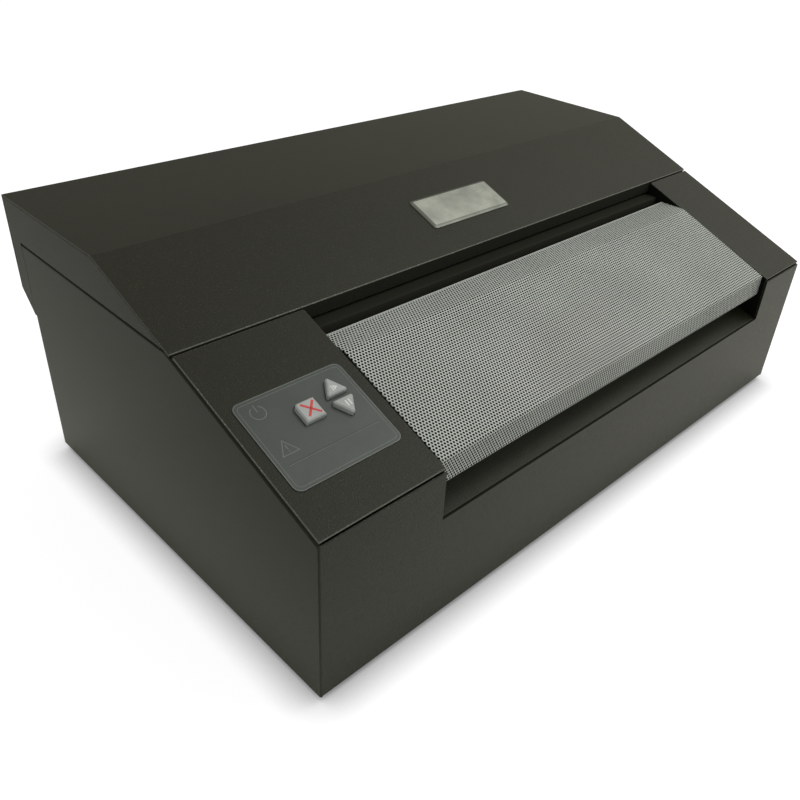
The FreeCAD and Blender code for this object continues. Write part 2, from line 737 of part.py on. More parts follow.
def hinge_base_leaf(centre):
    """The leaf on the rear wall, with the odd knuckles."""
    x0 = centre - HINGE_LENGTH / 2
    leaf = box(
        x0, x0 + HINGE_LENGTH, BASE_DEPTH, BASE_DEPTH + HINGE_LEAF,
        HINGE_Z - BASE_LEAF_HEIGHT, HINGE_Z - HINGE_KNUCKLE_RADIUS - KNUCKLE_GAP,
    )
    pieces = [leaf]
    for a, b in knuckle_spans(centre)[0::2]:
        pieces.append(bar_x(HINGE_KNUCKLE_RADIUS, a, b, HINGE_Y, HINGE_Z))
        pieces.append(box(
            a, b, BASE_DEPTH, BASE_DEPTH + HINGE_LEAF,
            HINGE_Z - HINGE_KNUCKLE_RADIUS - 2 * KNUCKLE_GAP, HINGE_Z,
        ))
    bore = bar_x(HINGE_PIN_RADIUS, x0, x0 + HINGE_LENGTH, HINGE_Y, HINGE_Z)
    return without(joined(pieces), [bore])


def along_chamfer(shape):
    """A leaf drawn upright at the hinge axis, turned to lie along the lid's chamfer."""
    laid = shape.copy()
    laid.rotate(V(0, HINGE_Y, HINGE_Z), X_AXIS, math.degrees(CHAMFER_ANGLE) - 90)
    return laid


def hinge_lid_leaf(centre):
    """The leaf on the lid's chamfer, with the even knuckles."""
    x0 = centre - HINGE_LENGTH / 2
    y0 = HINGE_Y - HINGE_KNUCKLE_RADIUS
    start = HINGE_Z + HINGE_KNUCKLE_RADIUS + KNUCKLE_GAP
    leaf = box(x0, x0 + HINGE_LENGTH, y0, y0 + HINGE_LEAF, start, HINGE_Z + LID_LEAF_HEIGHT)
    pieces = [leaf]
    for a, b in knuckle_spans(centre)[1::2]:
        pieces.append(bar_x(HINGE_KNUCKLE_RADIUS, a, b, HINGE_Y, HINGE_Z))
        pieces.append(box(a, b, y0, y0 + HINGE_LEAF, HINGE_Z, start + KNUCKLE_GAP))
    bore = bar_x(HINGE_PIN_RADIUS + RUNNING, x0, x0 + HINGE_LENGTH, HINGE_Y, HINGE_Z)
    return along_chamfer(without(joined(pieces), [bore]))


def hinge_pin(centre):
    """The pin through all knuckles, held in the base's."""
    x0 = centre - HINGE_LENGTH / 2
    return bar_x(HINGE_PIN_RADIUS, x0, x0 + HINGE_LENGTH, HINGE_Y, HINGE_Z)


# Grille
def grille_z(y):
    """Height of the top of the grille's main plane."""
    front = slope_z(GRILLE_FRONT_Y) - GRILLE_FRONT_DROP
    rear = slope_z(GRILLE_BEND_Y) + GRILLE_BEND_RISE
    return front + (y - GRILLE_FRONT_Y) * (rear - front) / (GRILLE_BEND_Y - GRILLE_FRONT_Y)


def grille():
    """The folded sheet that the paper slides over, with an ear at each end for its pivots."""
    x0 = RECESS_X0 + GRILLE_SIDE_GAP
    x1 = RECESS_X1 - GRILLE_SIDE_GAP
    front_z = grille_z(GRILLE_FRONT_Y)
    rear_z = grille_z(GRILLE_BEND_Y)
    line = [
        (GRILLE_FRONT_Y, front_z - GRILLE_LIP), (GRILLE_FRONT_Y, front_z),
        (GRILLE_BEND_Y, rear_z), (GRILLE_REAR_Y, rear_z),
    ]
    sheet = bent_sheet(line, GRILLE_SHEET, x0, x1)
    notch_top = front_z - GRILLE_RELIEF
    reliefs = []
    for a, b in ((x0 - 1, x0 + GRILLE_LIP_INSET), (x1 - GRILLE_LIP_INSET, x1 + 1)):
        reliefs.append(box(a, b, 0, GRILLE_FRONT_Y + 2 * GRILLE_SHEET, front_z - 2 * GRILLE_LIP, notch_top))
    ears = []
    for x in (x0, x1 - GRILLE_SHEET):
        round_end = bar_x(GRILLE_EAR_RADIUS, x, x + GRILLE_SHEET, GRILLE_PIVOT_Y, PIVOT_Z)
        neck = box(
            x, x + GRILLE_SHEET, GRILLE_PIVOT_Y - GRILLE_EAR_RADIUS,
            GRILLE_REAR_Y, PIVOT_Z, rear_z - GRILLE_SHEET / 2,
        )
        bore = bar_x(GRILLE_PIVOT_RADIUS + RUNNING, x - 1, x + GRILLE_SHEET + 1, GRILLE_PIVOT_Y, PIVOT_Z)
        ears.append(without(joined([round_end, neck]), [bore]))
    return joined([without(sheet, reliefs)] + ears)


def grille_pivots():
    """Two pins on the recess walls."""
    reach = GRILLE_SIDE_GAP + GRILLE_SHEET + SHEET
    left = bar_x(GRILLE_PIVOT_RADIUS, RECESS_X0, RECESS_X0 + reach, GRILLE_PIVOT_Y, PIVOT_Z)
    return separate([left, mirrored(left, RECESS_MIDDLE)])


# Control panel
def blunt(outline, cut):
    """An outline with each corner cut off, that far along both of its sides."""
    points = []
    for i, corner in enumerate(outline):
        for other in (outline[i - 1], outline[(i + 1) % len(outline)]):
            share = cut / math.dist(corner, other)
            points.append(tuple(a + (b - a) * share for a, b in zip(corner, other)))
    return points


def cancel_outline():
    """Square with one corner cut."""
    x0, y0 = CANCEL_X, CANCEL_S
    x1, y1 = x0 + CANCEL_WIDTH, y0 + CANCEL_LENGTH
    return [(x0, y0), (x1, y0), (x1, y1), (x0 + CANCEL_CORNER, y1), (x0, y1 - CANCEL_CORNER)]


def feed_outline():
    """Blunt triangle that points up the slope."""
    corners = [
        (ARROW_X, FEED_S), (ARROW_X + ARROW_WIDTH, FEED_S),
        (ARROW_X + ARROW_WIDTH / 2, FEED_S + ARROW_LENGTH),
    ]
    return blunt(corners, ARROW_TIP)


def pause_outline():
    """Blunt triangle that points down the slope."""
    corners = [
        (ARROW_X, PAUSE_S), (ARROW_X + ARROW_WIDTH / 2, PAUSE_S - ARROW_LENGTH),
        (ARROW_X + ARROW_WIDTH, PAUSE_S),
    ]
    return blunt(corners, ARROW_TIP)


KEY_OUTLINES = {"cancel": cancel_outline(), "feed": feed_outline(), "pause": pause_outline()}
KEY_TOP = PANEL_THICKNESS + KEY_RISE
KEY_FLANGE_TOP = -SHEET - MOVING_GAP
KEY_BOTTOM = KEY_FLANGE_TOP - KEY_TRAVEL
SWITCH_TOP = KEY_BOTTOM - KEY_TRAVEL - MOVING_GAP
BOARD_TOP = SWITCH_TOP - SWITCH_HEIGHT
BOARD_BOTTOM = BOARD_TOP - BOARD_THICKNESS


def key(name):
    """A key cap with a bevelled top, and the flange that keeps it under the deck."""
    outline = KEY_OUTLINES[name]
    cap = prism(outline, KEY_FLANGE_TOP - KEY_TRAVEL / 2, KEY_TOP)
    rim = [e for e in cap.Edges if all(v.Z > KEY_TOP - KEY_BEVEL / 2 for v in e.Vertexes)]
    flange = grown_prism(outline, KEY_FLANGE, KEY_BOTTOM, KEY_FLANGE_TOP)
    return on_slope(joined([cap.makeChamfer(KEY_BEVEL, rim), flange]))


def key_windows():
    """The openings for the keys, through the overlay and the deck."""
    return [
        on_slope(grown_prism(outline, MOVING_GAP, -2 * SHEET, 2 * PANEL_THICKNESS))
        for outline in KEY_OUTLINES.values()
    ]


def control_overlay():
    """The thin panel on the deck, centred on the left strip."""
    x0 = (LEFT_STRIP - PANEL_WIDTH) / 2
    y1 = PANEL_START + PANEL_LENGTH
    panel = rounded_block(x0, x0 + PANEL_WIDTH, PANEL_START, y1, 0, PANEL_THICKNESS, PANEL_CORNER)
    return without(on_slope(panel), key_windows())


def outline_middle(outline):
    """The middle of an outline's corners."""
    return (
        sum(x for x, _ in outline) / len(outline),
        sum(y for _, y in outline) / len(outline),
    )


def key_board():
    """The board under the keys, with a switch under each and four posts up to the deck."""
    x0 = (LEFT_STRIP - PANEL_WIDTH) / 2 + KEY_BOARD_INSET
    x1 = x0 + PANEL_WIDTH - 2 * KEY_BOARD_INSET
    y0 = PANEL_START + PANEL_CORNER
    y1 = PANEL_START + PANEL_LENGTH
    pieces = [box(x0, x1, y0, y1, BOARD_BOTTOM, BOARD_TOP)]
    for outline in KEY_OUTLINES.values():
        x, y = outline_middle(outline)
        pieces.append(bar_z(SWITCH_RADIUS, BOARD_TOP, SWITCH_TOP, x, y))
    for x in (x0 + SWITCH_RADIUS, x1 - SWITCH_RADIUS):
        for y in (y0 + SWITCH_RADIUS, y1 - SWITCH_RADIUS):
            pieces.append(bar_z(SWITCH_RADIUS, BOARD_TOP, -SHEET, x, y))
    return on_slope(joined(pieces))


# Mechanism frames
def frame_outline():
    """The side frame: low under the recess, then up behind the deck and the lid's slope."""
    neck_top = slope_z(FRAME_NECK_Y) - SLOPE_DROP - LID_RETURN
    crest = ROD_Z + ROD_RADIUS + SHEET
    crest_y = ROD_YS[0] - 2 * ROD_RADIUS
    rear = BASE_DEPTH - SHEET - REAR_CLEARANCE
    return [
        (FRAME_FRONT_Y, SHEET), (rear, SHEET), (rear, crest), (crest_y, crest),
        (FRAME_NECK_Y, neck_top), (FRAME_NECK_Y, FRAME_LOW_TOP), (FRAME_FRONT_Y, FRAME_LOW_TOP),
    ]


def frame_holes(x0, x1):
    """The holes for the rods, the support rod and the shaft's bush."""
    holes = [bar_x(ROD_RADIUS, x0, x1, y, ROD_Z) for y in ROD_YS]
    holes.append(bar_x(SUPPORT_RADIUS, x0, x1, SUPPORT_Y, SUPPORT_Z))
    holes.append(bar_x(SHAFT_JOURNAL_RADIUS + RUNNING + BUSH_WALL, x0, x1, SHAFT_Y, SHAFT_Z))
    return holes


def frame_foot(x0, x1):
    """The flange that stands on the floor."""
    rear = BASE_DEPTH - SHEET - REAR_CLEARANCE
    return box(x0, x1, FRAME_FRONT_Y, rear, SHEET, SHEET + FRAME)


def pinion_place():
    """The pinion's axis, as (y, z)."""
    distance = GEAR_MODULE * (GEAR_TEETH + PINION_TEETH) / 2
    angle = math.radians(PINION_DIRECTION)
    return SHAFT_Y + distance * math.cos(angle), SHAFT_Z + distance * math.sin(angle)


def frame_left():
    """The left frame, with the shelf that carries the carriage motor."""
    x0 = FRAME_LEFT_X
    plate = plate_x(frame_outline(), x0, x0 + FRAME)
    shelf_top = BELT_Z - 2 * PULLEY_FLANGE - MOVING_GAP
    shelf = box(
        x0, BELT_MOTOR_X + MOTOR_SIZE / 2, BELT_Y - MOTOR_SIZE / 2, BELT_Y + MOTOR_SIZE / 2,
        shelf_top - BRACKET, shelf_top,
    )
    y, z = pinion_place()
    cuts = frame_holes(x0 - FRAME, x0 + 2 * FRAME)
    cuts.append(bar_x(MOTOR_PILOT_RADIUS, x0 - FRAME, x0 + 2 * FRAME, y, z))
    cuts.append(bar_z(MOTOR_PILOT_RADIUS, shelf_top - 2 * BRACKET, BELT_Z, BELT_MOTOR_X, BELT_Y))
    return without(joined([plate, frame_foot(x0, x0 + FRAME_FOOT), shelf]), cuts)


def frame_right():
    """The right frame."""
    x0 = FRAME_RIGHT_X
    plate = plate_x(frame_outline(), x0, x0 + FRAME)
    foot = frame_foot(x0 + FRAME - FRAME_FOOT, x0 + FRAME)
    return without(joined([plate, foot]), frame_holes(x0 - FRAME, x0 + 2 * FRAME))


def front_beam():
    """A channel that ties the frames at the front."""
    y0, y1 = FRONT_BEAM_Y, FRONT_BEAM_Y + FRONT_BEAM_SIZE
    z0, z1 = FRONT_BEAM_Z, FRONT_BEAM_Z + FRONT_BEAM_SIZE
    return bent_sheet([(y0, z0), (y0, z1), (y1, z1), (y1, z0)], BEAM_SHEET, INNER_X0, INNER_X1)


DIE_TOP = PAPER_Z - DIE_BELOW_PAPER
DIE_Z = DIE_TOP - DIE_HEIGHT


def platen_beam():
    """A channel under the die bar."""
    y0, y1 = HEAD_Y - DIE_WIDTH / 2, HEAD_Y + DIE_WIDTH / 2
    z0 = DIE_Z - PLATEN_BEAM_HEIGHT
    return bent_sheet([(y0, z0), (y0, DIE_Z), (y1, DIE_Z), (y1, z0)], BEAM_SHEET, INNER_X0, INNER_X1)


def die_bar():
    """The bar under the paper, with a groove below each row of dots."""
    y0, y1 = HEAD_Y - DIE_WIDTH / 2, HEAD_Y + DIE_WIDTH / 2
    bar = box(INNER_X0, INNER_X1, y0, y1, DIE_Z, DIE_TOP)
    half = DIE_GROOVE_WIDTH / 2
    floor = DIE_TOP - DIE_GROOVE_DEPTH
    grooves = [box(INNER_X0, INNER_X1, y - half, y + half, floor, PAPER_Z) for y in PUNCH_YS]
    return without(bar, grooves)


def paper_guide():
    """The sheet that brings the paper over the rear wall."""
    x0 = RECESS_X0 + GUIDE_SIDE_GAP
    x1 = RECESS_X1 - GUIDE_SIDE_GAP
    z = PAPER_Z - GUIDE_BELOW_PAPER
    front = HEAD_Y + DIE_WIDTH / 2
    rear = BASE_DEPTH + GUIDE_SHEET
    line = [(front, z), (rear, z), (rear, z - GUIDE_DROP)]
    return bent_sheet(line, GUIDE_SHEET, x0, x1, GUIDE_BEND, GUIDE_BEND + GUIDE_SHEET)


# Carriage and head
def guide_rods():
    """The two rods that the carriage runs on."""
    x0, x1 = FRAME_LEFT_X, FRAME_RIGHT_X + FRAME
    return separate([bar_x(ROD_RADIUS, x0, x1, y, ROD_Z) for y in ROD_YS])


def carriage():
    """The block that holds the bushes and the solenoids, with two jaws beside the belt."""
    x0 = CARRIAGE_X - CARRIAGE_WIDTH / 2
    x1 = CARRIAGE_X + CARRIAGE_WIDTH / 2
    block = box(x0, x1, CARRIAGE_FRONT, CARRIAGE_REAR, CARRIAGE_Z, CARRIAGE_TOP)
    cuts = [bar_x(ROD_BUSH_RADIUS, x0, x1, y, ROD_Z) for y in ROD_YS]
    cuts += [bar_z(SOLENOID_RADIUS, CARRIAGE_Z, CARRIAGE_TOP, CARRIAGE_X, y) for y in PUNCH_YS]
    run_y = BELT_Y - PULLEY_RADIUS
    reach = BELT_THICKNESS / 2 + MOVING_GAP
    jaws = []
    for y0, y1 in ((run_y - reach - CLAMP_JAW, run_y - reach), (run_y + reach, run_y + reach + CLAMP_JAW)):
        jaws.append(box(
            CARRIAGE_X - CLAMP_LENGTH / 2, CARRIAGE_X + CLAMP_LENGTH / 2, y0, y1, BELT_Z, CARRIAGE_Z,
        ))
    return joined([without(block, cuts)] + jaws)


def carriage_bushes():
    """Two bushes on each rod."""
    length = CARRIAGE_WIDTH / 4
    bushes = []
    for y in ROD_YS:
        for x0 in (CARRIAGE_X - CARRIAGE_WIDTH / 2, CARRIAGE_X + CARRIAGE_WIDTH / 2 - length):
            ring = bar_x(ROD_BUSH_RADIUS, x0, x0 + length, y, ROD_Z)
            bushes.append(without(ring, [bar_x(ROD_RADIUS + RUNNING, x0, x0 + length, y, ROD_Z)]))
    return separate(bushes)


def solenoids():
    """One solenoid for each punch, each with a bore down its middle."""
    group = []
    for y in PUNCH_YS:
        coil = bar_z(SOLENOID_RADIUS, SOLENOID_Z, SOLENOID_TOP, CARRIAGE_X, y)
        bore = bar_z(PUNCH_RADIUS + RUNNING, SOLENOID_Z, SOLENOID_TOP, CARRIAGE_X, y)
        group.append(without(coil, [bore]))
    return separate(group)


def punch(y):
    """A punch with a domed tip and a collar above its solenoid."""
    tip = PAPER_Z + PUNCH_REST
    shaft = bar_z(PUNCH_RADIUS, tip + PUNCH_RADIUS, HEAD_TOP, CARRIAGE_X, y)
    dome = Part.makeSphere(PUNCH_RADIUS, V(CARRIAGE_X, y, tip + PUNCH_RADIUS))
    collar = bar_z(PUNCH_COLLAR_RADIUS, COLLAR_Z, HEAD_TOP, CARRIAGE_X, y)
    return joined([shaft, dome, collar])


# Carriage drive
def motor(length):
    """A square stepper motor, face up at z = 0, with its pilot ring above."""
    half = MOTOR_SIZE / 2
    body = rounded_block(-half, half, -half, half, -length, 0, MOTOR_CORNER)
    pilot = bar_z(MOTOR_PILOT_RADIUS, 0, MOTOR_PILOT_HEIGHT, 0, 0)
    bore = bar_z(MOTOR_SHAFT_RADIUS + RUNNING, -length / 2, MOTOR_PILOT_HEIGHT, 0, 0)
    return without(joined([body, pilot]), [bore])


def carriage_motor():
    """The motor under its shelf, shaft up."""
    placed = motor(CARRIAGE_MOTOR_LENGTH)
    face = BELT_Z - 2 * PULLEY_FLANGE - MOVING_GAP - BRACKET
    placed.translate(V(BELT_MOTOR_X, BELT_Y, face))
    return placed


def pulley(x):
    """A pulley with two flanges, without its bore."""
    z0, z1 = BELT_Z, BELT_Z + BELT_HEIGHT
    radius = PULLEY_RADIUS - BELT_THICKNESS / 2 - RUNNING
    gap = MOVING_GAP / 2
    return joined([
        bar_z(radius, z0 - gap, z1 + gap, x, BELT_Y),
        bar_z(PULLEY_FLANGE_RADIUS, z0 - gap - PULLEY_FLANGE, z0 - gap, x, BELT_Y),
        bar_z(PULLEY_FLANGE_RADIUS, z1 + gap, z1 + gap + PULLEY_FLANGE, x, BELT_Y),
    ])


def motor_pulley():
    """The pulley pressed on its motor shaft."""
    face = BELT_Z - 2 * PULLEY_FLANGE - MOVING_GAP - BRACKET
    foot = face - CARRIAGE_MOTOR_LENGTH / 2 + MOVING_GAP
    shaft = bar_z(MOTOR_SHAFT_RADIUS, foot, BELT_Z + BELT_HEIGHT, BELT_MOTOR_X, BELT_Y)
    return joined([pulley(BELT_MOTOR_X), shaft])


def idler_pulley():
    """The pulley at the right end."""
    bore = bar_z(IDLER_PIN_RADIUS + RUNNING, PAPER_Z, CARRIAGE_Z, BELT_IDLER_X, BELT_Y)
    return without(pulley(BELT_IDLER_X), [bore])


def idler_bracket():
    """The plate and pin that carry the idler, on the right frame."""
    shelf_top = BELT_Z - 2 * PULLEY_FLANGE - MOVING_GAP
    reach = PULLEY_FLANGE_RADIUS
    plate = box(
        BELT_IDLER_X - reach, INNER_X1, BELT_Y - reach, BELT_Y + reach, shelf_top - BRACKET, shelf_top,
    )
    upright = box(
        INNER_X1 - BRACKET, INNER_X1, BELT_Y - reach, BELT_Y + reach,
        shelf_top - 3 * BRACKET, shelf_top,
    )
    pin = bar_z(IDLER_PIN_RADIUS, shelf_top, BELT_Z + BELT_HEIGHT, BELT_IDLER_X, BELT_Y)
    return joined([plate, upright, pin])


def carriage_belt():
    """The closed belt round both pulleys."""
    z0, z1 = BELT_Z, BELT_Z + BELT_HEIGHT

    def loop(radius):
        return joined([
            box(BELT_MOTOR_X, BELT_IDLER_X, BELT_Y - radius, BELT_Y + radius, z0, z1),
            bar_z(radius, z0, z1, BELT_MOTOR_X, BELT_Y),
            bar_z(radius, z0, z1, BELT_IDLER_X, BELT_Y),
        ])

    half = BELT_THICKNESS / 2
    return without(loop(PULLEY_RADIUS + half), [loop(PULLEY_RADIUS - half)])


# Paper feed
def involute(angle):
    """The involute function of a pressure angle."""
    return math.tan(angle) - angle


def gear(teeth, width, bore_radius, phase):
    """A spur gear along X from x = 0, with one tooth's middle turned to the phase angle in degrees."""
    pitch = GEAR_MODULE * teeth / 2
    pressure = math.radians(GEAR_PRESSURE_ANGLE)
    base = pitch * math.cos(pressure)
    root = pitch - GEAR_DEDENDUM * GEAR_MODULE
    tip = pitch + GEAR_MODULE
    half_pitch = math.pi / (2 * teeth) - GEAR_BACKLASH / (2 * pitch) + involute(pressure)
    flank_start = max(base, root)
    outline = []
    for tooth in range(teeth):
        middle = 2 * math.pi * tooth / teeth + math.radians(phase)
        flank = []
        for step in range(FLANK_STEPS + 1):
            radius = flank_start + (tip - flank_start) * step / FLANK_STEPS
            flank.append((radius, half_pitch - involute(math.acos(base / radius))))
        root_angle = flank[0][1]
        outline.append((root, middle - root_angle))
        outline += [(radius, middle - angle) for radius, angle in flank]
        outline += [(radius, middle + angle) for radius, angle in flank[::-1]]
        outline.append((root, middle + root_angle))
    points = []
    for radius, angle in outline:
        point = V(0, radius * math.cos(angle), radius * math.sin(angle))
        if not points or point.distanceToPoint(points[-1]) > 0.001:
            points.append(point)
    wheel = Part.Face(Part.makePolygon(points + points[:1])).extrude(V(width, 0, 0))
    return without(wheel, [bar_x(bore_radius, -1, width + 1, 0, 0)])


GEAR_X1 = FRAME_LEFT_X - GEAR_FROM_FRAME
GEAR_X0 = GEAR_X1 - GEAR_WIDTH


def feed_gear():
    """The large gear on the end of the feed shaft."""
    wheel = gear(GEAR_TEETH, GEAR_WIDTH, SHAFT_JOURNAL_RADIUS, PINION_DIRECTION)
    wheel.translate(V(GEAR_X0, SHAFT_Y, SHAFT_Z))
    return wheel


def feed_pinion():
    """The motor's pinion with its shaft, a gap between two teeth towards the gear."""
    phase = PINION_DIRECTION + 180 + 180 / PINION_TEETH
    wheel = gear(PINION_TEETH, PINION_WIDTH, MOTOR_SHAFT_RADIUS, phase)
    x0 = GEAR_X0 - (PINION_WIDTH - GEAR_WIDTH) / 2
    end = INNER_X0 + FEED_MOTOR_LENGTH / 2 - MOVING_GAP
    shaft = bar_x(MOTOR_SHAFT_RADIUS, 0, end - x0, 0, 0)
    turned = joined([wheel, shaft])
    y, z = pinion_place()
    turned.translate(V(x0, y, z))
    return turned


def feed_motor():
    """The motor on the inner face of the left frame, shaft to the left."""
    placed = motor(FEED_MOTOR_LENGTH)
    placed.rotate(V(0, 0, 0), Y_AXIS, -90)
    y, z = pinion_place()
    placed.translate(V(INNER_X0, y, z))
    return placed


def feed_shaft():
    """Square between the frames and round in the bushes and the gear."""
    half = SHAFT_SQUARE / 2
    square = box(
        INNER_X0 + FRAME, INNER_X1 - FRAME, SHAFT_Y - half, SHAFT_Y + half, SHAFT_Z - half, SHAFT_Z + half,
    )
    x1 = FRAME_RIGHT_X + FRAME + BUSH_FLANGE
    return joined([square, bar_x(SHAFT_JOURNAL_RADIUS, GEAR_X0 - BUSH_FLANGE, x1, SHAFT_Y, SHAFT_Z)])


def shaft_bushes():
    """A flanged bush in each frame."""
    inner = SHAFT_JOURNAL_RADIUS + RUNNING
    outer = inner + BUSH_WALL
    group = []
    for x0, flange_x0 in ((FRAME_LEFT_X, FRAME_LEFT_X - BUSH_FLANGE / 2), (FRAME_RIGHT_X, FRAME_RIGHT_X + FRAME)):
        sleeve = bar_x(outer, x0, x0 + FRAME, SHAFT_Y, SHAFT_Z)
        flange = bar_x(outer + BUSH_FLANGE, flange_x0, flange_x0 + BUSH_FLANGE / 2, SHAFT_Y, SHAFT_Z)
        bore = bar_x(inner, x0 - 2 * FRAME, x0 + 3 * FRAME, SHAFT_Y, SHAFT_Z)
        group.append(without(joined([sleeve, flange]), [bore]))
    return separate(group)


def support_rod():
    """The round rod that steadies the tractors."""
    return bar_x(SUPPORT_RADIUS, FRAME_LEFT_X, FRAME_RIGHT_X + FRAME, SUPPORT_Y, SUPPORT_Z)


TRACTOR_X0 = RECESS_X0 + TRACTOR_INSET
TRACTOR_WIDTH = 2 * (TRACTOR_PLATE + WHEEL_PLAY) + WHEEL_WIDTH
TRACTOR_X1 = TRACTOR_X0 + TRACTOR_WIDTH
TRACTOR_TOP = PAPER_Z - GATE_LIFT
TRACTOR_BOTTOM = SHAFT_Z - TRACTOR_DEPTH
GATE_AXIS_X = TRACTOR_X0 - GATE_AXIS_OUT
GATE_AXIS_Z = PAPER_Z - GATE_AXIS_DROP
GATE_Y0 = SHAFT_Y - GATE_LENGTH / 2
GATE_Y1 = SHAFT_Y + GATE_LENGTH / 2


def tractor_body():
    """The left tractor's two plates and floor, with the lugs for its gate."""
    y0, y1 = SHAFT_Y - TRACTOR_FRONT, SHAFT_Y + TRACTOR_REAR
    pieces = []
    for x0 in (TRACTOR_X0, TRACTOR_X1 - TRACTOR_PLATE):
        pieces.append(box(x0, x0 + TRACTOR_PLATE, y0, y1, TRACTOR_BOTTOM, TRACTOR_TOP))
    pieces.append(box(TRACTOR_X0, TRACTOR_X1, y0, y1, TRACTOR_BOTTOM, TRACTOR_BOTTOM + TRACTOR_FLOOR))
    lug = GATE_KNUCKLE_RADIUS
    lug_y = [GATE_Y0 + GATE_LUG, GATE_Y1 - 2 * GATE_LUG]
    for y in lug_y:
        pieces.append(box(GATE_AXIS_X - lug, TRACTOR_X0, y, y + GATE_LUG, GATE_AXIS_Z - lug, GATE_AXIS_Z + lug))
    cuts = [
        bar_x(HUB_RADIUS + RUNNING, TRACTOR_X0, TRACTOR_X1, SHAFT_Y, SHAFT_Z),
        bar_x(SUPPORT_RADIUS + RUNNING, TRACTOR_X0, TRACTOR_X1, SUPPORT_Y, SUPPORT_Z),
        bar_y(GATE_PIN_RADIUS + RUNNING, GATE_Y0, GATE_Y1, GATE_AXIS_X, GATE_AXIS_Z),
    ]
    return without(joined(pieces), cuts)


def pin_wheel():
    """The left tractor's wheel, with its ring of paper pins and a square bore."""
    x0 = TRACTOR_X0 + TRACTOR_PLATE + WHEEL_PLAY
    middle = x0 + WHEEL_WIDTH / 2
    rim_radius = WHEEL_RADIUS - RUNNING
    pieces = [
        bar_x(rim_radius, x0, x0 + WHEEL_WIDTH, SHAFT_Y, SHAFT_Z),
        bar_x(HUB_RADIUS, TRACTOR_X0, TRACTOR_X1, SHAFT_Y, SHAFT_Z),
    ]
    sunk = PIN_HEIGHT / 2
    for i in range(WHEEL_PINS):
        angle = math.pi / 2 + 2 * math.pi * i / WHEEL_PINS
        out = V(0, math.cos(angle), math.sin(angle))
        foot = V(middle, SHAFT_Y, SHAFT_Z) + out * (rim_radius - sunk)
        pieces.append(Part.makeCone(PIN_RADIUS, PIN_TIP_RADIUS, PIN_HEIGHT + sunk, foot, out))
    half = SHAFT_SQUARE / 2 + SQUARE_CLEARANCE
    bore = box(
        TRACTOR_X0 - 1, TRACTOR_X1 + 1, SHAFT_Y - half, SHAFT_Y + half, SHAFT_Z - half, SHAFT_Z + half,
    )
    return without(joined(pieces), [bore])


def tractor_gate():
    """The left tractor's gate, with a slot over the pins and a pivot pin along its outer edge."""
    z0 = PAPER_Z + GATE_LIFT
    lug = GATE_KNUCKLE_RADIUS
    x0 = GATE_AXIS_X - lug
    plate = box(x0, GATE_AXIS_X + GATE_WIDTH, GATE_Y0, GATE_Y1, z0, z0 + GATE_THICKNESS)
    middle = (TRACTOR_X0 + TRACTOR_X1) / 2
    slot = box(
        middle - GATE_SLOT_WIDTH / 2, middle + GATE_SLOT_WIDTH / 2,
        SHAFT_Y - GATE_SLOT_LENGTH / 2, SHAFT_Y + GATE_SLOT_LENGTH / 2, z0 - 1, z0 + GATE_THICKNESS + 1,
    )
    y0 = GATE_Y0 + 2 * GATE_LUG + MOVING_GAP
    y1 = GATE_Y1 - 2 * GATE_LUG - MOVING_GAP
    web = box(x0, TRACTOR_X0 - MOVING_GAP, y0, y1, GATE_AXIS_Z, z0)
    knuckle = bar_y(lug - MOVING_GAP, y0, y1, GATE_AXIS_X, GATE_AXIS_Z)
    pin = bar_y(GATE_PIN_RADIUS, GATE_Y0 + GATE_LUG, GATE_Y1 - GATE_LUG, GATE_AXIS_X, GATE_AXIS_Z)
    return joined([without(plate, [slot]), web, knuckle, pin])


def lock_lever():
    """The left tractor's locking lever, a ring on the support rod with a handle."""
    x1 = TRACTOR_X0 - MOVING_GAP
    x0 = x1 - LEVER_THICKNESS
    ring = bar_x(SUPPORT_RADIUS + LEVER_RING, x0, x1, SUPPORT_Y, SUPPORT_Z)
    half = LEVER_WIDTH / 2
    handle = box(x0, x1, SUPPORT_Y - half, SUPPORT_Y + half, SUPPORT_Z, SUPPORT_Z + LEVER_LENGTH)
    bore = bar_x(SUPPORT_RADIUS + RUNNING, x0, x1, SUPPORT_Y, SUPPORT_Z)
    return without(joined([ring, handle]), [bore])


# Electronics
def power_supply():
    """A sheet metal box on the floor, with slots in its top."""
    x1 = SUPPLY_X + SUPPLY_WIDTH
    y1 = SUPPLY_Y + SUPPLY_LENGTH
    z1 = SHEET + SUPPLY_HEIGHT
    outer = box(SUPPLY_X, x1, SUPPLY_Y, y1, SHEET, z1)
    inner = box(
        SUPPLY_X + SUPPLY_SHEET, x1 - SUPPLY_SHEET, SUPPLY_Y + SUPPLY_SHEET, y1 - SUPPLY_SHEET,
        SHEET + SUPPLY_SHEET, z1 - SUPPLY_SHEET,
    )
    middle = (SUPPLY_X + x1) / 2
    slots = []
    for i in range(SUPPLY_SLOTS):
        x = middle + (i - (SUPPLY_SLOTS - 1) / 2) * SUPPLY_SLOT_PITCH
        slots.append(box(
            x, x + SUPPLY_SLOT_WIDTH, SUPPLY_Y + SUPPLY_LENGTH / 4, y1 - SUPPLY_LENGTH / 4,
            z1 - 2 * SUPPLY_SHEET, z1 + 1,
        ))
    return without(outer, [inner] + slots)


BOARD_Z = SHEET + STANDOFF_HEIGHT
BOARD_REAR = BASE_DEPTH - SHEET - REAR_CLEARANCE


def port_boxes():
    """The data sockets' outlines on the rear wall, as (x0, x1, z0, z1)."""
    result = []
    x = MAIN_BOARD_X + PORT_GAP
    z = BOARD_Z + BOARD_THICKNESS
    for width, height in PORT_KINDS:
        result.append((x, x + width, z, z + height))
        x += width + PORT_GAP
    return result


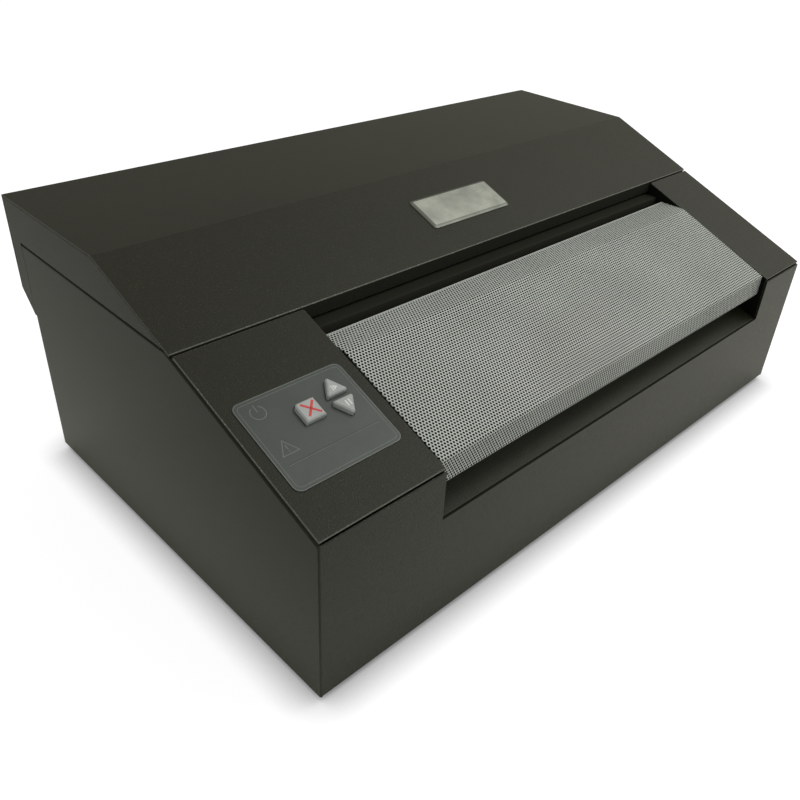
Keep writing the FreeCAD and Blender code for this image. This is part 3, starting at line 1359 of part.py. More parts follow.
def main_board():
    """The main board on six standoffs, with its larger parts."""
    x0, x1 = MAIN_BOARD_X, MAIN_BOARD_X + MAIN_BOARD_WIDTH
    y0, y1 = BOARD_REAR - MAIN_BOARD_LENGTH, BOARD_REAR
    top = BOARD_Z + BOARD_THICKNESS
    pieces = [box(x0, x1, y0, y1, BOARD_Z, top)]
    for x in (x0 + STANDOFF_INSET, x1 - STANDOFF_INSET):
        for y in (y0 + STANDOFF_INSET, (y0 + y1) / 2, y1 - STANDOFF_INSET - PORT_DEPTH):
            pieces.append(bar_z(STANDOFF_RADIUS, SHEET, BOARD_Z, x, y))
    chip = MAIN_BOARD_WIDTH / 5
    chip_top = top + CHIP_HEIGHT
    sink_top = top + HEAT_SINK_HEIGHT
    pieces.append(box(x0 + chip, x0 + 2 * chip, y0 + chip, y0 + 2 * chip, top, chip_top))
    pieces.append(box(x0 + 3 * chip, x0 + 4 * chip, y0 + chip, y0 + 3 * chip, top, sink_top))
    capacitor_top = top + CAPACITOR_HEIGHT
    for i in range(CAPACITORS):
        pieces.append(bar_z(CAPACITOR_RADIUS, top, capacitor_top, x0 + chip * (1 + i), (y0 + y1) / 2))
    return joined(pieces)


def data_ports():
    """Three sockets on the board's rear edge, open to the rear."""
    y0, y1 = BASE_DEPTH - PORT_DEPTH, BASE_DEPTH + PORT_WALL
    group = []
    for x0, x1, z0, z1 in port_boxes():
        shell = box(x0, x1, y0, y1, z0, z1)
        inside = box(
            x0 + PORT_WALL, x1 - PORT_WALL, y0 + 2 * PORT_WALL, y1 + 1, z0 + PORT_WALL, z1 - PORT_WALL,
        )
        group.append(without(shell, [inside]))
    return separate(group)


FAN_Y1 = BASE_DEPTH - SHEET
FAN_Y0 = FAN_Y1 - FAN_DEPTH
FAN_MIDDLE_X = FAN_X + FAN_SIZE / 2
FAN_MIDDLE_Z = FAN_Z + FAN_SIZE / 2


def fan_frame():
    """A square duct against the rear wall, with arms to the rotor's bearing."""
    body = box(FAN_X, FAN_X + FAN_SIZE, FAN_Y0, FAN_Y1, FAN_Z, FAN_Z + FAN_SIZE)
    bore = bar_y(FAN_BORE_RADIUS, FAN_Y0, FAN_Y1, FAN_MIDDLE_X, FAN_MIDDLE_Z)
    hub = bar_y(FAN_HUB_RADIUS, FAN_Y1 - FAN_WEB, FAN_Y1, FAN_MIDDLE_X, FAN_MIDDLE_Z)
    pieces = [without(body, [bore]), hub]
    for i in range(FAN_ARMS):
        arm = box(
            FAN_MIDDLE_X, FAN_MIDDLE_X + FAN_SIZE / 2, FAN_Y1 - FAN_WEB, FAN_Y1,
            FAN_MIDDLE_Z - FAN_WEB / 2, FAN_MIDDLE_Z + FAN_WEB / 2,
        )
        arm.rotate(V(FAN_MIDDLE_X, FAN_Y0, FAN_MIDDLE_Z), Y_AXIS, 90 + 360 / FAN_ARMS * i)
        pieces.append(arm)
    pin_bore = bar_y(FAN_PIN_RADIUS + RUNNING, FAN_Y1 - FAN_WEB, FAN_Y1, FAN_MIDDLE_X, FAN_MIDDLE_Z)
    return without(joined(pieces), [pin_bore])


def fan_rotor():
    """Hub, twisted blades and the spindle."""
    y0 = FAN_Y0 + MOVING_GAP
    y1 = FAN_Y1 - FAN_WEB - MOVING_GAP
    middle_y = (y0 + y1) / 2
    half_chord = (y1 - y0) / 2
    half_blade = FAN_BLADE_THICKNESS / 2
    pieces = [
        bar_y(FAN_HUB_RADIUS, y0, y1, FAN_MIDDLE_X, FAN_MIDDLE_Z),
        bar_y(FAN_PIN_RADIUS, middle_y, FAN_Y1 - MOVING_GAP, FAN_MIDDLE_X, FAN_MIDDLE_Z),
    ]
    for i in range(FAN_BLADES):
        blade = box(
            FAN_MIDDLE_X + FAN_HUB_RADIUS - FAN_BLADE_ROOT, FAN_MIDDLE_X + FAN_BLADE_RADIUS,
            middle_y - half_chord, middle_y + half_chord,
            FAN_MIDDLE_Z - half_blade, FAN_MIDDLE_Z + half_blade,
        )
        blade.rotate(V(FAN_MIDDLE_X, middle_y, FAN_MIDDLE_Z), X_AXIS, FAN_BLADE_ANGLE)
        blade.rotate(V(FAN_MIDDLE_X, middle_y, FAN_MIDDLE_Z), Y_AXIS, 360 * i / FAN_BLADES)
        pieces.append(blade)
    whole = joined(pieces)
    limit = bar_y(FAN_BLADE_RADIUS, FAN_Y0, FAN_Y1, FAN_MIDDLE_X, FAN_MIDDLE_Z)
    return whole.common(limit)


INLET_MIDDLE_X = INLET_X + INLET_WIDTH / 2
SOCKET_Z = INLET_Z + INLET_FLANGE_REACH + SOCKET_HEIGHT / 2
ROCKER_Z = INLET_Z + INLET_HEIGHT - INLET_FLANGE_REACH - ROCKER_HEIGHT / 2
INLET_FACE = BASE_DEPTH + INLET_FLANGE
ROCKER_AXIS_Y = INLET_FACE - ROCKER_AXLE_INSET


def socket_outline():
    """The mains socket's outline, with its two upper corners cut, as (x, z)."""
    x0, x1 = INLET_MIDDLE_X - SOCKET_WIDTH / 2, INLET_MIDDLE_X + SOCKET_WIDTH / 2
    z0, z1 = SOCKET_Z - SOCKET_HEIGHT / 2, SOCKET_Z + SOCKET_HEIGHT / 2
    cut = SOCKET_CORNER
    return [(x0, z0), (x1, z0), (x1, z1 - cut), (x1 - cut, z1), (x0 + cut, z1), (x0, z1 - cut)]


def power_inlet():
    """The mains socket and the well for the rocker, in one housing with a flange."""
    y0 = BASE_DEPTH - INLET_DEPTH
    body = box(INLET_X, INLET_X + INLET_WIDTH, y0, BASE_DEPTH, INLET_Z, INLET_Z + INLET_HEIGHT)
    reach = INLET_FLANGE_REACH
    flange = box(
        INLET_X - reach, INLET_X + INLET_WIDTH + reach, BASE_DEPTH, INLET_FACE,
        INLET_Z - reach, INLET_Z + INLET_HEIGHT + reach,
    )
    points = [V(x, INLET_FACE - SOCKET_DEPTH, z) for x, z in socket_outline()]
    socket = Part.Face(Part.makePolygon(points + points[:1])).extrude(V(0, SOCKET_DEPTH + 1, 0))
    half_w = ROCKER_WIDTH / 2 + MOVING_GAP
    half_h = ROCKER_HEIGHT / 2 + 2 * MOVING_GAP
    well = box(
        INLET_MIDDLE_X - half_w, INLET_MIDDLE_X + half_w, INLET_FACE - ROCKER_WELL_DEPTH, INLET_FACE + 1,
        ROCKER_Z - half_h, ROCKER_Z + half_h,
    )
    axle_half = half_w + SHEET
    axle = bar_x(
        ROCKER_AXLE_RADIUS + RUNNING, INLET_MIDDLE_X - axle_half, INLET_MIDDLE_X + axle_half,
        ROCKER_AXIS_Y, ROCKER_Z,
    )
    pins = []
    foot = INLET_FACE - SOCKET_DEPTH
    spread, offset = SOCKET_PIN_SPREAD, SOCKET_PIN_OFFSET
    for across, up in ((-spread, -offset), (spread, -offset), (0, offset)):
        x, z = INLET_MIDDLE_X + across, SOCKET_Z + up
        pins.append(box(
            x - SOCKET_PIN_WIDTH / 2, x + SOCKET_PIN_WIDTH / 2, foot - 1, foot + SOCKET_PIN_LENGTH,
            z - SOCKET_PIN_HEIGHT / 2, z + SOCKET_PIN_HEIGHT / 2,
        ))
    return joined([without(joined([body, flange]), [socket, well, axle])] + pins)


def power_rocker():
    """The rocker, a shallow vee on an axle."""
    x0, x1 = INLET_MIDDLE_X - ROCKER_WIDTH / 2, INLET_MIDDLE_X + ROCKER_WIDTH / 2
    half = ROCKER_HEIGHT / 2
    rise = half * math.tan(math.radians(ROCKER_TILT))
    face = INLET_FACE - ROCKER_FACE_INSET
    foot = face - ROCKER_BODY_DEPTH
    tip = half - MOVING_GAP
    outline = [
        (foot, ROCKER_Z - tip + MOVING_GAP), (foot, ROCKER_Z + tip - MOVING_GAP),
        (face + rise, ROCKER_Z + tip), (face, ROCKER_Z), (face + rise, ROCKER_Z - tip),
    ]
    body = plate_x(outline, x0, x1)
    reach = SHEET
    axle = bar_x(ROCKER_AXLE_RADIUS, x0 - reach, x1 + reach, ROCKER_AXIS_Y, ROCKER_Z)
    rocker = joined([body, axle])
    rocker.rotate(V(0, ROCKER_AXIS_Y, ROCKER_Z), X_AXIS, -ROCKER_TILT)
    return rocker


# Writing every piece
def main():
    middle = CASE_WIDTH / 2
    save("base_pan", base_pan())
    save("side_panel_left", side_panel())
    save("side_panel_right", mirrored(side_panel(), middle))
    save("deck_left", deck(LEFT_STRIP, key_windows()))
    save("deck_right", mirrored(deck(RIGHT_STRIP, []), middle))
    save("recess_tray", recess_tray())
    save("feet", feet())
    save("case_screws", separate(side_screws() + side_screws_right()))
    save("lid_shell", lid_shell())
    save("badge_plate", badge_plate())
    save("hinge_leaf_base", separate([hinge_base_leaf(x) for x in HINGE_CENTRES]))
    save("hinge_leaf_lid", separate([hinge_lid_leaf(x) for x in HINGE_CENTRES]))
    save("hinge_pins", separate([hinge_pin(x) for x in HINGE_CENTRES]))
    save("grille", grille())
    save("grille_pivots", grille_pivots())
    save("control_overlay", control_overlay())
    for name in KEY_OUTLINES:
        save("key_" + name, key(name))
    save("key_board", key_board())
    save("frame_left", frame_left())
    save("frame_right", frame_right())
    save("front_beam", front_beam())
    save("platen_beam", platen_beam())
    save("die_bar", die_bar())
    save("paper_guide", paper_guide())
    save("guide_rods", guide_rods())
    save("carriage", carriage())
    save("carriage_bushes", carriage_bushes())
    save("solenoids", solenoids())
    for i, y in enumerate(PUNCH_YS):
        save("punch_" + str(i + 1), punch(y))
    save("carriage_motor", carriage_motor())
    save("motor_pulley", motor_pulley())
    save("idler_pulley", idler_pulley())
    save("idler_bracket", idler_bracket())
    save("carriage_belt", carriage_belt())
    save("feed_shaft", feed_shaft())
    save("feed_gear", feed_gear())
    save("feed_pinion", feed_pinion())
    save("feed_motor", feed_motor())
    save("shaft_bushes", shaft_bushes())
    save("support_rod", support_rod())
    for name, piece in (
        ("tractor_body", tractor_body()), ("pin_wheel", pin_wheel()),
        ("tractor_gate", tractor_gate()), ("lock_lever", lock_lever()),
    ):
        save(name + "_left", piece)
        save(name + "_right", mirrored(piece, RECESS_MIDDLE))
    save("power_supply", power_supply())
    save("main_board", main_board())
    save("data_ports", data_ports())
    save("fan_frame", fan_frame())
    save("fan_rotor", fan_rotor())
    save("power_inlet", power_inlet())
    save("power_rocker", power_rocker())


main()
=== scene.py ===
"""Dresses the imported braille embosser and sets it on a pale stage.

Lengths are in metres where nothing else is said. Case millimetres run from the case's left side,
from its front wall to the rear, and up from its underside; spot() turns them into metres.
"""

import json
import math

import bmesh
import bpy
from bpy.props import FloatProperty, FloatVectorProperty, IntProperty, PointerProperty
from mathutils import Matrix, Vector

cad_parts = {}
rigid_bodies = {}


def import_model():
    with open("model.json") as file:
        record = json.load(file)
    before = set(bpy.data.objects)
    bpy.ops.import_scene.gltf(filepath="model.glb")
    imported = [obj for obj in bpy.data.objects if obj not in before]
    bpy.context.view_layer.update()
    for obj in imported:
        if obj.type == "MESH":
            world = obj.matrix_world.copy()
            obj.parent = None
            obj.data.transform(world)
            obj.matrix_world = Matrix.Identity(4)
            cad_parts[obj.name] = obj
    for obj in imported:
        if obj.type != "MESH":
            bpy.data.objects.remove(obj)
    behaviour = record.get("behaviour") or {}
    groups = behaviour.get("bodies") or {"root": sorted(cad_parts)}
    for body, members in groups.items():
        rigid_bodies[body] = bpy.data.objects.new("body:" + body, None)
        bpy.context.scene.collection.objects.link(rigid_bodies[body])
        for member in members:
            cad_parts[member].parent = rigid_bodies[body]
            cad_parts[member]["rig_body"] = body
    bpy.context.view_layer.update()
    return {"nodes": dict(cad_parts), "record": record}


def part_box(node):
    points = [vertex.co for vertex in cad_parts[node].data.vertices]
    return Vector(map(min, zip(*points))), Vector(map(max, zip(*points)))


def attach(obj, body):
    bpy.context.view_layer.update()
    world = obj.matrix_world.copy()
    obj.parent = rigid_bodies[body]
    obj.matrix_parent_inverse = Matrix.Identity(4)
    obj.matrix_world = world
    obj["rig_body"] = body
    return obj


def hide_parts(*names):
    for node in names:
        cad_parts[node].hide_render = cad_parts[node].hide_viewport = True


bl_info = {
    "name": "Braille Embosser",
    "version": (1, 0, 0),
    "blender": (4, 5, 0),
    "location": "View3D > Sidebar > Embosser",
    "description": "Builds the finished pieces of a desktop braille embosser around its packed parts",
    "category": "Object",
}

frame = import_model()
slot_of = {part["node"]: part["material_slot"] for part in frame["record"]["subparts"]}

MM = 0.001
WHITE = (1.0, 1.0, 1.0, 1.0)
WARM = (1.0, 1.0, 0.85, 1.0)

# A face's normal along an axis, where the face looks straight that way or only leans that way
STRAIGHT = 0.9
LEANING = 0.4

# The case, in case millimetres
HALF_WIDTH, HALF_DEPTH, FOOT_HEIGHT = 280.0, 171.5, 5.0
FRONT_HEIGHT = 121.4
SLOPE = math.radians(20.7)
SILL_DEPTH, SILL_HEIGHT = 2.0, 118.0
RECESS_LEFT, RECESS_RIGHT = 90.0, 500.0
SHELF_FRONT, SHELF_HEIGHT, SHELF_LIFT = 119.0, 151.0, 6.2
LID_MIDDLE = (280.0, 240.0, 166.0)
LIP_REAR, LIP_FOOT, LIP_TOP, LIP_DROP = 134.5, 167.0, 170.7, 3.4

# The grille from the side: distance from the front wall and height, in case millimetres
GRILLE_CORNERS = {"foot": (5.5, 105.878), "fold": (5.5, 122.878), "bend": (92.0, 157.064),
                  "rear": (115.0, 157.064)}
GRILLE_PIVOT = (110.0, 150.064)
RIM_FRONT, RIM_REAR, RIM_TOP = 114.0, 115.02, 157.084
STRIP_ROWS = 22
EAR_RADIUS, EAR_HOLE, EAR_SIDE, EAR_TOP = 5.5, 2.55, 6.5, 5.8

# How far prints stand out of the sloping face, and how thick they are, in millimetres
MARK_HEIGHT = 0.04
PANEL_PRINT, KEY_PRINT = (0.52, 0.03), (4.01, MARK_HEIGHT)

# The boards and the rear wall, in case millimetres
BOARD_FOOT, BOARD_TOP, CHIPS_RIGHT = 9.4, 11.3, 170.0
CAPACITORS = (221.0, 235.0)
KEY_BOARD_THICKNESS, KEY_BOARD_POSTS = 1.7, (18.0, 76.0)
PORT_DEPTH, PORT_FOOT, PORT_WALL = (312.5, 327.3), 12.2, 1.1
PORTS = ((122.0, 134.0, 22.1), (144.0, 160.0, 25.1), (170.0, 201.0, 23.1))
INLET_FLOOR, PIN_HALF_WIDTH, PIN_HALF_HEIGHT = 311.3, 1.1, 2.1
PINS = ((459.0, 26.25), (473.0, 26.25), (466.0, 30.25))
ROCKER_X, ROCKER_FACE, ROCKER_MIDDLE, ROCKER_LEAN = 466.0, 327.99, 55.22, math.radians(18.0)

# The camera: place in case millimetres, and degrees round, down and of roll
CAMERA_PLACE = (-189.24, -239.84, 414.37)
CAMERA_TURN = (46.853, 33.464, 3.945)
CAMERA_LENS, CAMERA_SHIFT = 37.11, (-0.025, -0.00375)


# Places and colours


def spot(x, y, z):
    """A point given in case millimetres."""
    return Vector((x - HALF_WIDTH, y - HALF_DEPTH, z + FOOT_HEIGHT)) * MM


def case_mm(point):
    """A frame point back in case millimetres."""
    return Vector((point.x / MM + HALF_WIDTH, point.y / MM + HALF_DEPTH, point.z / MM - FOOT_HEIGHT))


def on_slope(x, along, above=0.0):
    """A point on the sloping face: across, up the slope from its front edge, and out of the face."""
    y = along * math.cos(SLOPE) - above * math.sin(SLOPE)
    z = FRONT_HEIGHT + along * math.sin(SLOPE) + above * math.cos(SLOPE)
    return spot(x, y, z)


def off_slope(y, z):
    """How far a step to the rear and up leads out of the sloping face."""
    return z * math.cos(SLOPE) - y * math.sin(SLOPE)


def linear(colour):
    """Linear light for a colour written as it shows on screen."""
    return tuple(c / 12.92 if c <= 0.04045 else ((c + 0.055) / 1.055) ** 2.4 for c in colour) + (1.0,)


def shade(colour, factor):
    """The same colour, lighter or darker on screen."""
    return tuple(min(1.0, c * factor) for c in colour)


# Node trees


class Graph:
    """Adds nodes to a tree and joins their sockets."""

    def __init__(self, tree):
        self.tree = tree

    def link(self, socket, into):
        """Joins an output to an input."""
        self.tree.links.new(socket, into)

    def add(self, kind, inputs=None, **settings):
        """A new node. An input given a socket is joined to it, any other value is set."""
        node = self.tree.nodes.new(kind)
        for name, value in settings.items():
            setattr(node, name, value)
        for name, value in (inputs or {}).items():
            if isinstance(value, bpy.types.NodeSocket):
                self.link(value, node.inputs[name])
            else:
                node.inputs[name].default_value = value
        return node

    def out(self, kind, inputs=None, **settings):
        """The first output of a new node."""
        return self.add(kind, inputs, **settings).outputs[0]

    def math(self, operation, *values):
        """One number worked out from others."""
        return self.out("ShaderNodeMath", dict(enumerate(values)), operation=operation)

    def times(self, first, second):
        """Two numbers multiplied."""
        return self.math("MULTIPLY", first, second)

    def plus(self, first, second):
        """Two numbers added."""
        return self.math("ADD", first, second)

    def split(self, vector):
        """The three parts of a vector."""
        return self.add("ShaderNodeSeparateXYZ", {0: vector}).outputs

    def spread(self, value, start, end, low=0.0, high=1.0, **how):
        """A value's stretch from start to end, laid out from low to high."""
        inputs = {"Value": value, "From Min": start, "From Max": end, "To Min": low, "To Max": high}
        return self.out("ShaderNodeMapRange", inputs, **how)

    def between(self, factor, first, second):
        """A number between two others."""
        return self.out("ShaderNodeMix", {0: factor, 2: first, 3: second}, data_type="FLOAT")

    def tint(self, factor, first, second):
        """A colour between two others."""
        return self.add("ShaderNodeMix", {0: factor, 6: first, 7: second}, data_type="RGBA").outputs[2]


class Finish(Graph):
    """A procedural material on object coordinates."""

    def __init__(self, name, metallic=0.0, specular=0.5):
        self.material = bpy.data.materials.new(name)
        self.material.use_nodes = True
        super().__init__(self.material.node_tree)
        self.shader = self.tree.nodes["Principled BSDF"]
        self.shader.inputs["Metallic"].default_value = metallic
        self.shader.inputs["Specular IOR Level"].default_value = specular
        self.place = self.add("ShaderNodeTexCoord").outputs["Object"]

    def noise(self, size, detail=2.0, vector=None):
        """Soft noise with features of that many metres."""
        inputs = {"Vector": vector or self.place, "Scale": 1.0 / size, "Detail": detail}
        return self.add("ShaderNodeTexNoise", inputs).outputs["Fac"]

    def patches(self, size, detail, start, end):
        """Soft patches of that size, 0 where the noise is under start and 1 over end."""
        return self.spread(self.noise(size, detail), start, end)

    def mixed(self, factor, first, second):
        """A colour between two others, each a colour or a socket."""
        ends = [c if isinstance(c, bpy.types.NodeSocket) else linear(c) for c in (first, second)]
        return self.tint(factor, *ends)

    def join(self, **sockets):
        """Joins sockets to the shader's inputs."""
        for name, socket in sockets.items():
            self.link(socket, self.shader.inputs[name.replace("_", " ").title()])

    def coloured(self, factor, first, second):
        """Gives the surface a colour between two others."""
        self.join(base_color=self.mixed(factor, first, second))

    def bump(self, height, depth):
        """Relief of that depth."""
        self.join(normal=self.out("ShaderNodeBump", {"Height": height, "Distance": depth}))

    def skin(self, texture, low, high, depth):
        """Roughness and relief that follow one texture."""
        self.join(roughness=self.spread(texture, 0.3, 0.7, low, high))
        self.bump(texture, depth)


def sand_paint(name, colour, specular, roughness, speck=2.0, grain=0.0008, depth=0.00022):
    """Powder coat: fine sanded grain, faint pale specks and a slow drift of tone."""
    finish = Finish(name, specular=specular)
    sand = finish.noise(grain)
    body = finish.mixed(finish.patches(0.07, 3.0, 0.3, 0.7), shade(colour, 0.95), shade(colour, 1.05))
    body = finish.mixed(finish.spread(sand, 0.35, 0.65, 0.0, 0.5), body, shade(colour, 0.85))
    finish.coloured(finish.patches(grain * 0.8, 0.0, 0.7, 0.8), body, shade(colour, speck))
    finish.skin(sand, roughness - 0.06, roughness + 0.08, depth)
    return finish.material


def dull_coat(name, colour):
    """A thin dull coat. Copies of it in chosen colours are painted shade in gaps, in the grille's holes and
    on the lid's lip, and painted light on the shaded shelf and riser.
    """
    finish = Finish(name, specular=0.03)
    skin = finish.noise(0.0009, 3.0)
    finish.coloured(finish.spread(skin, 0.35, 0.7), colour, shade(colour, 0.85))
    finish.skin(skin, 0.55, 0.7, 0.00005)
    return finish.material


def worked_metal(name, colour, roughness=0.3, lines=(1.0, 1.0, 1.0), stain=0.9):
    """Bare metal: tool lines drawn out along one axis, dull patches and fine pits."""
    finish = Finish(name, metallic=1.0)
    drawn = finish.out("ShaderNodeMapping", {"Vector": finish.place, "Scale": lines})
    marks = finish.noise(0.0006, 3.0, drawn)
    patches = finish.patches(0.018, 4.0, 0.35, 0.65)
    body = finish.mixed(patches, colour, shade(colour, stain))
    finish.coloured(finish.spread(marks, 0.4, 0.7, 0.0, 0.6), body, shade(colour, 0.86))
    rough = finish.spread(marks, 0.3, 0.7, roughness - 0.07, roughness + 0.07)
    finish.join(roughness=finish.plus(rough, finish.spread(patches, 0.0, 1.0, 0.0, 0.08)))
    finish.bump(marks, 0.00003)
    return finish.material


def cast_metal(name, colour, roughness=0.5):
    """Cast and blasted metal: a coarse dull skin."""
    finish = Finish(name, metallic=1.0)
    skin = finish.noise(0.0011, 4.0)
    body = finish.mixed(finish.patches(0.012, 3.0, 0.3, 0.7), colour, shade(colour, 0.88))
    finish.coloured(finish.spread(skin, 0.45, 0.7), body, shade(colour, 0.8))
    finish.skin(skin, roughness - 0.08, roughness + 0.12, 0.00025)
    return finish.material


def moulded(name, colour, roughness=0.45, grain=0.0005, depth=0.00004, specular=0.45):
    """Moulded plastic or rubber: spark-eroded texture, flow marks and a faint drift of tone."""
    finish = Finish(name, specular=specular)
    texture = finish.noise(grain)
    body = finish.mixed(finish.patches(0.02, 3.0, 0.35, 0.65), shade(colour, 0.95), shade(colour, 1.04))
    finish.coloured(finish.spread(texture, 0.4, 0.75, 0.0, 0.35), body, shade(colour, 0.8))
    finish.skin(texture, roughness - 0.06, roughness + 0.08, depth)
    return finish.material


def motor_skin(name, axis, low, high, cap=0.008, plates_per_metre=1600.0):
    """A motor's stack of steel plates between two cast caps, along one axis of the case in metres."""
    finish = Finish(name, metallic=1.0)
    along = finish.split(finish.place)[axis]
    seams = finish.spread(finish.math("FRACT", finish.times(along, plates_per_metre)), 0.0, 0.2, 1.0, 0.0)
    from_low, from_high = finish.math("SUBTRACT", along, low), finish.math("SUBTRACT", high, along)
    ends = finish.spread(finish.math("MINIMUM", from_low, from_high), cap, cap + 0.0002, 1.0, 0.0)
    steel = finish.mixed(seams, (0.5, 0.5, 0.5), (0.3, 0.3, 0.3))
    skin = finish.noise(0.0008, 3.0)
    cast = finish.mixed(finish.spread(skin, 0.4, 0.7), (0.17, 0.17, 0.175), (0.12, 0.12, 0.125))
    finish.coloured(ends, steel, cast)
    finish.join(metallic=finish.spread(ends, 0.0, 1.0, 1.0, 0.2))
    finish.join(roughness=finish.spread(skin, 0.3, 0.7, 0.32, 0.5))
    finish.bump(finish.plus(finish.times(seams, -1.0), ends), 0.00006)
    return finish.material


def circuit_board(name, mask, copper):
    """Solder mask over a net of tracks, with rows of tinned pads."""
    finish = Finish(name)
    tracks = finish.out("ShaderNodeTexBrick", {
        "Vector": finish.place, "Color1": (0, 0, 0, 1), "Color2": (0, 0, 0, 1), "Mortar": WHITE, "Scale": 1.0,
        "Mortar Size": 0.00035, "Mortar Smooth": 0.1, "Brick Width": 0.0127, "Row Height": 0.00381,
    })
    lines = finish.times(tracks, finish.patches(0.011, 1.0, 0.42, 0.46))
    holes = finish.out("ShaderNodeTexVoronoi", {"Vector": finish.place, "Scale": 260.0, "Randomness": 0.25})
    pads = finish.times(finish.spread(holes, 0.16, 0.2, 1.0, 0.0), finish.patches(0.02, 1.0, 0.52, 0.56))
    body = finish.mixed(finish.noise(0.03, 3.0), mask, shade(mask, 1.25))
    body = finish.mixed(lines, body, shade(mask, 1.7))
    finish.coloured(pads, body, copper)
    finish.join(metallic=finish.times(pads, 0.9))
    finish.join(roughness=finish.spread(lines, 0.0, 1.0, 0.38, 0.3))
    finish.bump(finish.plus(lines, pads), 0.00004)
    return finish.material


# Meshes


def show(name, data):
    """A new object at the origin that shows a mesh, a curve, a lamp or a camera."""
    piece = bpy.data.objects.new(name, data)
    bpy.context.scene.collection.objects.link(piece)
    return piece


def evaluated(piece):
    """A piece's mesh with its modifiers applied."""
    graph = bpy.context.evaluated_depsgraph_get()
    return bpy.data.meshes.new_from_object(piece.evaluated_get(graph))


def made_plain(piece):
    """Turns a piece's modifiers into plain mesh."""
    mesh = evaluated(piece)
    piece.modifiers.clear()
    piece.data = mesh
    return piece


def kept(work, name, *finishes):
    """Ends the work on a mesh and gives it its finishes."""
    mesh = bpy.data.meshes.new(name)
    work.to_mesh(mesh)
    work.free()
    for finish in finishes:
        mesh.materials.append(finish)
    return mesh


def fitted(piece, body, slot, *nodes):
    """Puts a finished piece on its body, in place of the nodes it stands for. Its slot is not used."""
    if nodes:
        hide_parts(*nodes)
    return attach(piece, body)


def in_place_of(node, piece):
    """Puts a finished piece in a node's place, on the node's body."""
    return fitted(piece, frame["nodes"][node]["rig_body"], slot_of[node], node)


def on_bend(face):
    """Whether a face is one of the long narrow ones well round a bend from the sloping face."""
    length = max(edge.calc_length() for edge in face.edges)
    width = face.calc_area() / length
    turned = off_slope(face.normal.y, face.normal.z)
    return length > 20 * MM and width < 0.3 * MM and 0.2 < turned < 0.9


def dressed(node, finish, edge=0.3, others=(), steps=2, moved=None, painted_highlights=None):
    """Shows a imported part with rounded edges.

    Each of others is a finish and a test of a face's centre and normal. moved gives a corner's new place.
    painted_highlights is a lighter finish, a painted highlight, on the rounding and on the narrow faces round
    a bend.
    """
    work = bmesh.new()
    work.from_mesh(frame["nodes"][node].data)
    bmesh.ops.remove_doubles(work, verts=work.verts, dist=0.000002)
    if moved:
        for corner in work.verts:
            corner.co = spot(*moved(case_mm(corner.co)))
    bmesh.ops.dissolve_limit(work, angle_limit=math.radians(0.6), verts=work.verts, edges=work.edges)
    for face in work.faces:
        face.smooth = True
        centre = case_mm(face.calc_center_median())
        found = [i for i, (_, test) in enumerate(others, 1) if test(centre, face.normal)]
        # Painted highlights go on the narrow faces round a bend
        if painted_highlights and on_bend(face):
            found.insert(0, len(others) + 1)
        face.material_index = found[0] if found else 0
    name = node + "_finished"
    piece = show(name, kept(work, name, finish, *[other for other, _ in others], painted_highlights or finish))
    bevel = piece.modifiers.new("edges", "BEVEL")
    bevel.width = edge * MM
    bevel.segments = steps
    bevel.limit_method = "ANGLE"
    bevel.angle_limit = math.radians(28.0)
    bevel.use_clamp_overlap = True
    # The rounding made by the bevel gets the painted highlights too
    if painted_highlights:
        bevel.material = len(others) + 1
    normals = piece.modifiers.new("normals", "WEIGHTED_NORMAL")
    normals.weight = 80
    return in_place_of(node, made_plain(piece))


def flat_prints(name, ribbons, to_point, height, finish, body, slot):
    """Thin printed lines. A ribbon is its points, its width and whether it closes; corners are mitred."""
    work = bmesh.new()
    for points, width, closed in ribbons:
        points = [Vector(p) for p in points]
        ways = [(after - here).normalized() for here, after in zip(points, points[1:] + points[:1])]
        if not closed:
            ways[-1] = ways[-2]
        sides = []
        for i, here in enumerate(points):
            into = ways[i - 1] if closed or i else ways[0]
            along = (into + ways[i]).normalized()
            across = Vector((-along.y, along.x))
            reach = width / 2 / max(0.35, across.dot(Vector((-into.y, into.x))))
            sides.append([work.verts.new(to_point(*(here + across * reach * side))) for side in (-1, 1)])
        for (a, b), (c, d) in zip(sides, sides[1:] + (sides[:1] if closed else [])):
            work.faces.new((a, c, d, b))
    bmesh.ops.recalc_face_normals(work, faces=work.faces)
    piece = show(name, kept(work, name, finish))
    skin = piece.modifiers.new("height", "SOLIDIFY")
    skin.thickness = height * MM
    skin.offset = 0.0
    return fitted(made_plain(piece), body, slot)


def slope_prints(name, ribbons, place, finish, body, slot):
    """Printed lines on the sloping face. The place is how far out they lie and their height."""
    above, height = place
    return flat_prints(name, ribbons, lambda x, s: on_slope(x, s, above), height, finish, body, slot)


def arc(x, y, radius, start, end, steps=24):
    """Points round part of a circle, from one angle to another in degrees."""
    angles = [math.radians(start + (end - start) * i / steps) for i in range(steps + 1)]
    return [(x + radius * math.cos(a), y + radius * math.sin(a)) for a in angles]


def rounded_box(x0, y0, x1, y1, radius):
    """Points round a box with rounded corners."""
    corners = ((x1 - radius, y0 + radius, -90), (x1 - radius, y1 - radius, 0),
               (x0 + radius, y1 - radius, 90), (x0 + radius, y0 + radius, 180))
    return [p for x, y, start in corners for p in arc(x, y, radius, start, start + 90, 6)]


def plate(name, outlines, thickness):
    """A flat plate round the middle of its thickness, cut out by its inner outlines, as loose mesh."""
    curve = bpy.data.curves.new(name, "CURVE")
    curve.dimensions = "2D"
    curve.fill_mode = "BOTH"
    curve.extrude = thickness / 2
    for outline in outlines:
        spline = curve.splines.new("POLY")
        spline.points.add(len(outline) - 1)
        for point, (x, y) in zip(spline.points, outline):
            point.co = (x, y, 0.0, 1.0)
        spline.use_cyclic_u = True
    holder = show(name, curve)
    mesh = evaluated(holder)
    bpy.data.objects.remove(holder)
    bpy.data.curves.remove(curve)
    return mesh


# Geometry trees


